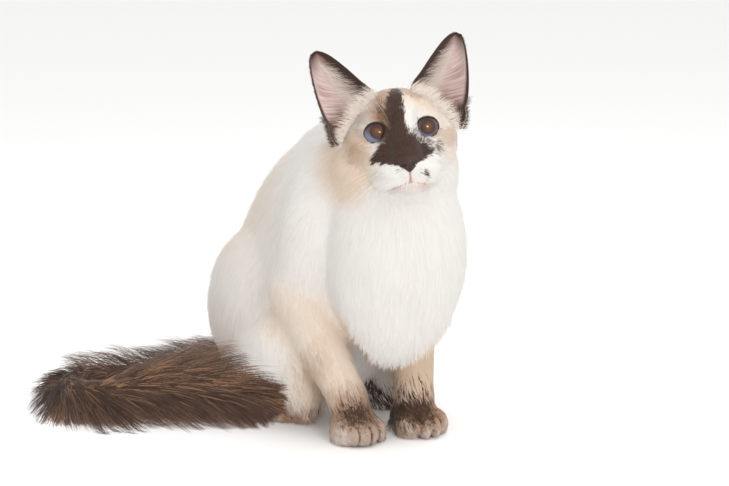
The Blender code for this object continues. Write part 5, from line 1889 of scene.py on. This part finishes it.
class Tree:
    """A node tree with short ways to add and join nodes."""

    def __init__(self, tree: bpy.types.NodeTree):
        self.tree = tree

    def node(self, kind: str, inputs: dict | None = None, **settings) -> bpy.types.Node:
        """Adds a node; its inputs take either values or other nodes' outputs."""
        made = self.tree.nodes.new(kind)
        for name, value in settings.items():
            setattr(made, name, value)
        for name, value in (inputs or {}).items():
            if isinstance(value, bpy.types.NodeSocket):
                self.tree.links.new(value, made.inputs[name])
            else:
                made.inputs[name].default_value = value
        return made

    def maths(self, operation: str, a, b=0.0, clamp: bool = False) -> bpy.types.NodeSocket:
        """One sum on two values."""
        return self.node("ShaderNodeMath", {0: a, 1: b}, operation=operation, use_clamp=clamp).outputs[0]

    def length(self, x, y) -> bpy.types.NodeSocket:
        """The root of the sum of two squares."""
        squares = self.maths("MULTIPLY", x, x), self.maths("MULTIPLY", y, y)
        return self.maths("SQRT", self.maths("ADD", *squares))

    def mix(self, share, a, b, blend: str = "MIX") -> bpy.types.NodeSocket:
        """Two colours mixed."""
        inputs = {0: share, 6: a, 7: b}
        return self.node("ShaderNodeMix", inputs, data_type="RGBA", blend_type=blend).outputs[2]

    def rise(self, value, low: float, high: float) -> bpy.types.NodeSocket:
        """A smooth rise from 0 to 1 between two values."""
        limits = {"Value": value, "From Min": low, "From Max": high}
        return self.node("ShaderNodeMapRange", limits, interpolation_type="SMOOTHSTEP").outputs[0]

    def attribute(self, name: str, output: str = "Fac") -> bpy.types.NodeSocket:
        """A stored value of the mesh."""
        return self.node("ShaderNodeAttribute", attribute_name=name).outputs[output]

    def noise(self, scale: float, detail: float = 3.0, vector=None) -> bpy.types.NodeSocket:
        """Noise in the piece's own coordinates."""
        place = vector or self.node("ShaderNodeTexCoord").outputs["Object"]
        return self.node("ShaderNodeTexNoise", {"Vector": place, "Scale": scale, "Detail": detail}).outputs[0]


@dataclass(frozen=True)
class Finish:
    """The constant values of one surface."""

    rough: float
    specular: float = 0.35
    sheen: float = 0.0
    clear: float = 0.0
    bump: float = 0.0


@dataclass(frozen=True)
class CoatColours:
    """The coat's colours, as screen values."""

    white: tuple[int, int, int] = (213, 209, 204)
    cream: tuple[int, int, int] = (207, 186, 165)
    tan: tuple[int, int, int] = (140, 104, 76)
    seal: tuple[int, int, int] = (42, 27, 20)
    seal_tip_and_sheen: tuple[int, int, int] = (76, 51, 38)
    pink: tuple[int, int, int] = (222, 172, 156)


class Palette:
    """Makes the shared node groups and the materials."""

    def __init__(self, colours: CoatColours):
        self.colours = colours
        self.tint = self.coat_tint()

    def coat_tint(self) -> bpy.types.ShaderNodeTree:
        """The group that turns the masks into the coat's colour, darker at the root as painted shade among the hairs,
        and lighter at the tip, for seal partly a painted sheen.
        """
        group = bpy.data.node_groups.new("CoatTint", "ShaderNodeTree")
        for name, kind in (("Marks", "NodeSocketColor"), ("Pink", "NodeSocketFloat"), ("Along", "NodeSocketFloat"),
                           ("Strand", "NodeSocketFloat")):
            group.interface.new_socket(name, in_out="INPUT", socket_type=kind)
        group.interface.new_socket("Colour", in_out="OUTPUT", socket_type="NodeSocketColor")
        tree = Tree(group)
        given, made = tree.node("NodeGroupInput"), tree.node("NodeGroupOutput")
        split = tree.node("ShaderNodeSeparateColor", {0: given.outputs["Marks"]})
        seal, tan, cream = split.outputs
        along, strand = given.outputs["Along"], given.outputs["Strand"]
        cloud = tree.noise(38.0, 4.0)
        # Seal hair lightens towards its tips: partly its own colour, partly a painted sheen highlight.
        lighter = tree.maths("MULTIPLY", tree.maths("MULTIPLY", along, strand), 1.1)
        dark = tree.mix(lighter, linear(*self.colours.seal), linear(*self.colours.seal_tip_and_sheen))
        colour = tree.mix(cream, linear(*self.colours.white), linear(*self.colours.cream))
        colour = tree.mix(tan, colour, linear(*self.colours.tan))
        uneven = tree.maths("MULTIPLY", tree.maths("SUBTRACT", strand, 0.5), 0.65)
        uneven = tree.maths("MULTIPLY", uneven, tree.rise(seal, 0.02, 0.30))
        ragged = tree.rise(tree.maths("ADD", seal, uneven), 0.25, 0.68)
        colour = tree.mix(ragged, colour, dark)
        colour = tree.mix(given.outputs["Pink"], colour, linear(*self.colours.pink))
        # Each strand darkens towards its root, painted shade among the hairs; strand and cloud vary the tone at
        # random.
        level = tree.maths("ADD", tree.maths("MULTIPLY", strand, 0.09), tree.maths("MULTIPLY", along, 0.06))
        level = tree.maths("ADD", level, tree.maths("MULTIPLY", cloud, 0.08))
        level = tree.maths("ADD", level, 0.86)
        bright = tree.node("ShaderNodeCombineColor", {0: level, 1: level, 2: level}).outputs[0]
        tree.tree.links.new(tree.mix(1.0, colour, bright, "MULTIPLY"), made.inputs["Colour"])
        return group

    def material(self, name: str, finish: Finish) -> tuple[bpy.types.Material, Tree, bpy.types.Node]:
        """A material with its surface shader and constant values set."""
        made = bpy.data.materials.new(name)
        made.use_nodes = True
        tree = Tree(made.node_tree)
        shader = made.node_tree.nodes["Principled BSDF"]
        shader.inputs["Roughness"].default_value = finish.rough
        shader.inputs["Specular IOR Level"].default_value = finish.specular
        shader.inputs["Sheen Weight"].default_value = finish.sheen
        shader.inputs["Sheen Roughness"].default_value = 0.5
        shader.inputs["Coat Weight"].default_value = finish.clear
        shader.inputs["Coat Roughness"].default_value = 0.03
        return made, tree, shader

    def bumped(self, tree: Tree, shader: bpy.types.Node, height, strength: float, distance: float) -> None:
        """Gives a shader a bump."""
        bump = tree.node("ShaderNodeBump", {"Height": height, "Strength": strength, "Distance": distance})
        tree.tree.links.new(bump.outputs[0], shader.inputs["Normal"])

    def coat(self, name: str, tufted: bool) -> bpy.types.Material:
        """The coat's material, for tufts or for the skin under them."""
        made, tree, shader = self.material(name, Finish(0.62 if tufted else 0.85, 0.28, 0.10))

        marks = tree.node("ShaderNodeAttribute", attribute_name="marks")
        along = tree.attribute("along") if tufted else 1.0
        strand = tree.attribute("strand") if tufted else tree.noise(900.0, 2.0)
        tint = tree.node("ShaderNodeGroup", node_tree=self.tint)
        for socket, value in (("Marks", marks.outputs["Color"]), ("Pink", marks.outputs["Alpha"]), ("Strand", strand)):
            tree.tree.links.new(value, tint.inputs[socket])
        if tufted:
            tree.tree.links.new(along, tint.inputs["Along"])
        else:
            tint.inputs["Along"].default_value = along
            self.bumped(tree, shader, tree.noise(1400.0, 3.0), 0.5, 0.0006)
        tree.tree.links.new(tint.outputs[0], shader.inputs["Base Color"])
        return made

    def eye(self) -> bpy.types.Material:
        """A wide dark pupil with a painted brown reflection from inside the eye, a blue-violet iris ring painted
        lighter below, painted shade from the upper lid, and a dark edge.
        """
        made, tree, shader = self.material("eye_wet", Finish(0.12, 0.15, 0.0, 0.6))
        gaze = tree.node("ShaderNodeSeparateXYZ", {0: tree.attribute("gaze", "Vector")})
        x, y, z = gaze.outputs
        aside = tree.node("ShaderNodeSeparateXYZ", {0: tree.attribute("pupil", "Vector")})
        spread = tree.length(aside.outputs[0], aside.outputs[1])
        wide = tree.length(x, y)
        fibres = tree.noise(700.0, 3.0)
        # The blue-violet is the iris's own colour; its lower side is painted lighter, as light falls there.
        slant = tree.maths("ADD", tree.maths("MULTIPLY", y, -0.8), tree.maths("MULTIPLY", x, -0.7))
        low = tree.rise(slant, 0.10, 0.62)
        iris = tree.mix(low, linear(88, 68, 70), linear(122, 130, 166))
        iris = tree.mix(tree.maths("MULTIPLY", fibres, 0.5), iris, linear(60, 52, 70))
        # The pupil's brown is a painted reflection from the back of the eye.
        reflex = tree.mix(tree.rise(tree.maths("ADD", spread, tree.maths("MULTIPLY", fibres, 0.15)), 0.05, 0.52),
                          linear(108, 68, 34), linear(64, 38, 22))
        colour = tree.mix(tree.rise(spread, 0.49, 0.57), reflex, iris)
        # The top of the ball is painted dark: the shade of the upper lid.
        colour = tree.mix(tree.rise(y, 0.20, 0.72), colour, linear(34, 22, 17))
        colour = tree.mix(tree.rise(wide, 0.85, 0.93), colour, linear(30, 22, 24))
        colour = tree.mix(tree.rise(z, 0.0, -0.2), colour, linear(190, 180, 172))
        tree.tree.links.new(colour, shader.inputs["Base Color"])
        return made

    def ear(self) -> bpy.types.Material:
        """Pink skin inside with brown folds at the base, dark rims, and brown behind."""
        made, tree, shader = self.material("ear_skin", Finish(0.72, 0.30, 0.15))
        edge, height, inside = tree.attribute("edge"), tree.attribute("height"), tree.attribute("inside")
        across = tree.attribute("across")
        mottle = tree.noise(170.0, 4.0)
        lines = tree.node("ShaderNodeCombineXYZ", {
            0: tree.maths("ADD", tree.maths("MULTIPLY", height, 52.0), tree.maths("MULTIPLY", across, -26.0)),
            1: tree.maths("MULTIPLY", across, 2.0), 2: 0.0}).outputs[0]
        streaks = tree.noise(1.0, 3.0, lines)
        pink = tree.mix(mottle, linear(226, 208, 203), linear(208, 184, 177))
        pink = tree.mix(tree.rise(streaks, 0.36, 0.85), pink, linear(164, 130, 118))
        fold = tree.maths("MULTIPLY", tree.rise(height, 0.48, 0.10), tree.rise(across, 0.30, 0.72))
        fold = tree.maths("MULTIPLY", fold, tree.maths("ADD", tree.rise(streaks, 0.25, 0.80), 0.55), clamp=True)
        deep = tree.mix(fold, pink, linear(104, 61, 44))
        patch = tree.maths("MULTIPLY", tree.rise(height, 0.36, 0.26), tree.rise(across, 0.84, 0.92))
        deep = tree.mix(patch, deep, linear(58, 38, 28))
        uneven = tree.maths("MULTIPLY", tree.maths("SUBTRACT", streaks, 0.5), 0.12)
        shaded = tree.mix(tree.rise(tree.maths("ADD", edge, uneven), 0.30, 0.03), deep, linear(96, 72, 62))
        rimmed = tree.mix(tree.rise(tree.maths("ADD", edge, uneven), 0.085, 0.03), shaded, linear(54, 37, 31))
        behind = tree.mix(mottle, linear(150, 116, 90), linear(96, 68, 52))
        tree.tree.links.new(tree.mix(inside, behind, rimmed), shader.inputs["Base Color"])
        self.bumped(tree, shader, tree.noise(520.0, 4.0), 0.35, 0.0008)
        return made

    def nose(self) -> bpy.types.Material:
        """Moist dark leather, pebbled and mottled, with the nostrils painted near black as the shade in their
        openings.
        """
        made, tree, shader = self.material("nose_moist", Finish(0.50, 0.3, 0.0, 0.08))
        mottle = tree.noise(600.0, 4.0)
        leather = tree.mix(mottle, linear(46, 31, 27), linear(70, 47, 42))
        # The nostril pits are painted near black: painted shade in the openings.
        colour = tree.mix(tree.attribute("pit"), leather, linear(16, 10, 9))
        tree.tree.links.new(colour, shader.inputs["Base Color"])
        cells = tree.node("ShaderNodeTexVoronoi", {
            "Vector": tree.node("ShaderNodeTexCoord").outputs["Object"], "Scale": 1900.0}).outputs["Distance"]
        self.bumped(tree, shader, cells, 0.5, 0.0004)
        return made

    def plain(self, name: str, colour: tuple[int, int, int], finish: Finish, grain: float) -> bpy.types.Material:
        """One colour with a fine grain of light and dark."""
        made, tree, shader = self.material(name, finish)
        darker = tuple(c * 0.72 for c in colour)
        tree.tree.links.new(tree.mix(tree.noise(grain), linear(*darker), linear(*colour)), shader.inputs["Base Color"])
        return made


# The stage


@dataclass(frozen=True)
class Studio:
    """White floor, soft light and the photo's camera."""

    shift: Triple
    azimuth: float = math.radians(-32)
    elevation: float = math.radians(12)
    distance: float = 1.62
    target: Triple = (0.0, 0.034, 0.149)
    lens: float = 100.0
    floor_half: float = 6.0
    floor_white: Triple = (0.90, 0.895, 0.89)

    def added(self, name: str, data: bpy.types.ID, place: Triple, back: Vector) -> bpy.types.Object:
        """A light or camera at a place, looking against a direction."""
        made = bpy.data.objects.new(name, data)
        bpy.context.scene.collection.objects.link(made)
        made.location = place
        made.rotation_mode = "QUATERNION"
        made.rotation_quaternion = (-back).to_track_quat("-Z", "Y")
        return made

    def area(self, name: str, place: Triple, size: float, power: float, mirrored: bool) -> None:
        """A soft round light that faces the cat.

        Args:
            name: Its name.
            place: Where it stands.
            size: Its breadth.
            power: Its power in watts.
            mirrored: Whether it is seen in the eyes.
        """
        light = bpy.data.lights.new(name, "AREA")
        light.shape, light.size, light.energy = "DISK", size, power
        made = self.added(name, light, place, Vector(place) - Vector(self.target))
        made.visible_glossy = mirrored

    def floor(self) -> None:
        """The plain pale floor."""
        half = self.floor_half
        corners = np.array([(-half, -half, 0), (half, -half, 0), (half, half, 0), (-half, half, 0)], float)
        made = new_piece("floor", corners, np.array([(0, 1, 2), (0, 2, 3)]))
        white = bpy.data.materials.new("floor_white")
        white.use_nodes = True
        shader = white.node_tree.nodes["Principled BSDF"]
        shader.inputs["Base Color"].default_value = (*self.floor_white, 1.0)
        shader.inputs["Roughness"].default_value = 0.9
        made.data.materials.append(white)

    def build(self) -> None:
        """The floor, the world, the lights and the camera."""
        scene = bpy.context.scene
        scene.view_settings.view_transform = "Standard"
        world = bpy.data.worlds.new("studio")
        world.use_nodes = True
        world.node_tree.nodes["Background"].inputs["Color"].default_value = (1.0, 1.0, 1.0, 1.0)
        world.node_tree.nodes["Background"].inputs["Strength"].default_value = 1.0
        scene.world = world
        self.floor()
        self.area("key", (-0.15, -1.55, 0.72), 0.40, 7.0, mirrored=True)
        self.area("top", (0.30, -0.20, 1.70), 1.2, 9.0, mirrored=False)
        a, e = self.azimuth, self.elevation
        back = Vector((math.sin(a) * math.cos(e), -math.cos(a) * math.cos(e), math.sin(e)))
        place = Vector(self.target) + Vector(self.shift) + back * self.distance
        camera = self.added("camera", bpy.data.cameras.new("camera"), place, back)
        camera.data.lens, camera.data.sensor_width = self.lens, 36.0
        camera.data.dof.use_dof = False
        camera.data.clip_start, camera.data.clip_end = 0.05, 30.0
        scene.camera = camera


# The whole model


def box_centre(node: bpy.types.Object) -> Rows:
    """The middle of a node's box."""
    corners = np.array([node.matrix_world @ Vector(corner) for corner in node.bound_box])
    return (corners.min(axis=0) + corners.max(axis=0)) / 2


def head_over(frame: dict) -> HeadFrame:
    """The head frame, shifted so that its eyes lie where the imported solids' eyes do."""
    eyes = [box_centre(frame["nodes"]["eye_" + side.word]) for side in Side]
    unmoved = HeadFrame().out(np.array((0.0, Eye.solid_depth, 0.0)))
    head = HeadFrame(shift=tuple(sum(eyes) / 2 - unmoved))
    log.info("the solids lie %s from the cat's own frame", np.round(head.shift, 5))
    return head


def dress(piece: bpy.types.Object, material: bpy.types.Material, slot: str = "", *nodes: str) -> None:
    """Finishes a piece.

    Args:
        piece: The piece, which rides on the one body.
        material: Its material.
        slot: Not used.
        *nodes: The solids that it takes the place of.
    """
    piece.data.materials.append(material)
    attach(piece, "root")
    if nodes:
        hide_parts(*nodes)
    log.info("%s: %d triangles", piece.name, len(piece.data.polygons))


def main() -> None:
    """Builds every piece, dresses it, and sets the stage."""
    logging.basicConfig(level=logging.INFO, format="%(name)s: %(message)s")
    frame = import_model()
    head = head_over(frame)
    shape, tail, palette = HeadShape(), TailLine(head), Palette(CoatColours())
    body = Anatomy(head, shape, Mouth(), tail, LieField(head), Markings(head))

    skin = SkinBuilder(frame, body).build()
    dress(skin, palette.coat("skin_furred", tufted=False), "cream_coat", *FLESH_NODES, *TAIL_NODES)
    coat, plume = palette.coat("coat_tufts", tufted=True), palette.coat("plume_tufts", tufted=True)
    grower = CoatBuilder(skin, body)
    for index, piece in enumerate(COAT_PIECES):
        dress(grower.build(piece, index), coat, "white_coat")
    skin.data.attributes.remove(skin.data.attributes["skin_normal"])
    for stretch in (
        TailCoat(tail, "plume_far", 4200, (0.02, 0.44), 7, crest=0.35),
        TailCoat(tail, "plume_turn", 4200, (0.42, 0.62), 8, length=1.55, droop=0.70),
        TailCoat(tail, "plume_near", 8900, (0.60, 1.0), 9, crest=0.65),
    ):
        dress(stretch.build(), plume, "seal_coat")

    eye_wet, ear_skin = palette.eye(), palette.ear()
    lid = palette.plain("lid_dark", (44, 32, 28), Finish(0.35, 0.5, 0.0, 0.3), 900.0)
    for side in Side:
        eye, ear = Eye(head, side), Ear(head, side)
        dress(eye.ball(), eye_wet, "eye", "eye_" + side.word)
        dress(eye.rim(), lid)
        dress(ear.leaf(), ear_skin, "ear_skin", "ear_" + side.word)
        dress(ear.fur(), coat)
    dress(NoseLeather(head, shape).build(), palette.nose(), "nose_leather", "nose")
    dress(Whiskers(head, shape).build(), palette.plain("bristle_white", (246, 242, 236), Finish(0.35, 0.5), 300.0))

    Studio(head.shift).build()


if __name__ == "__main__":
    main()
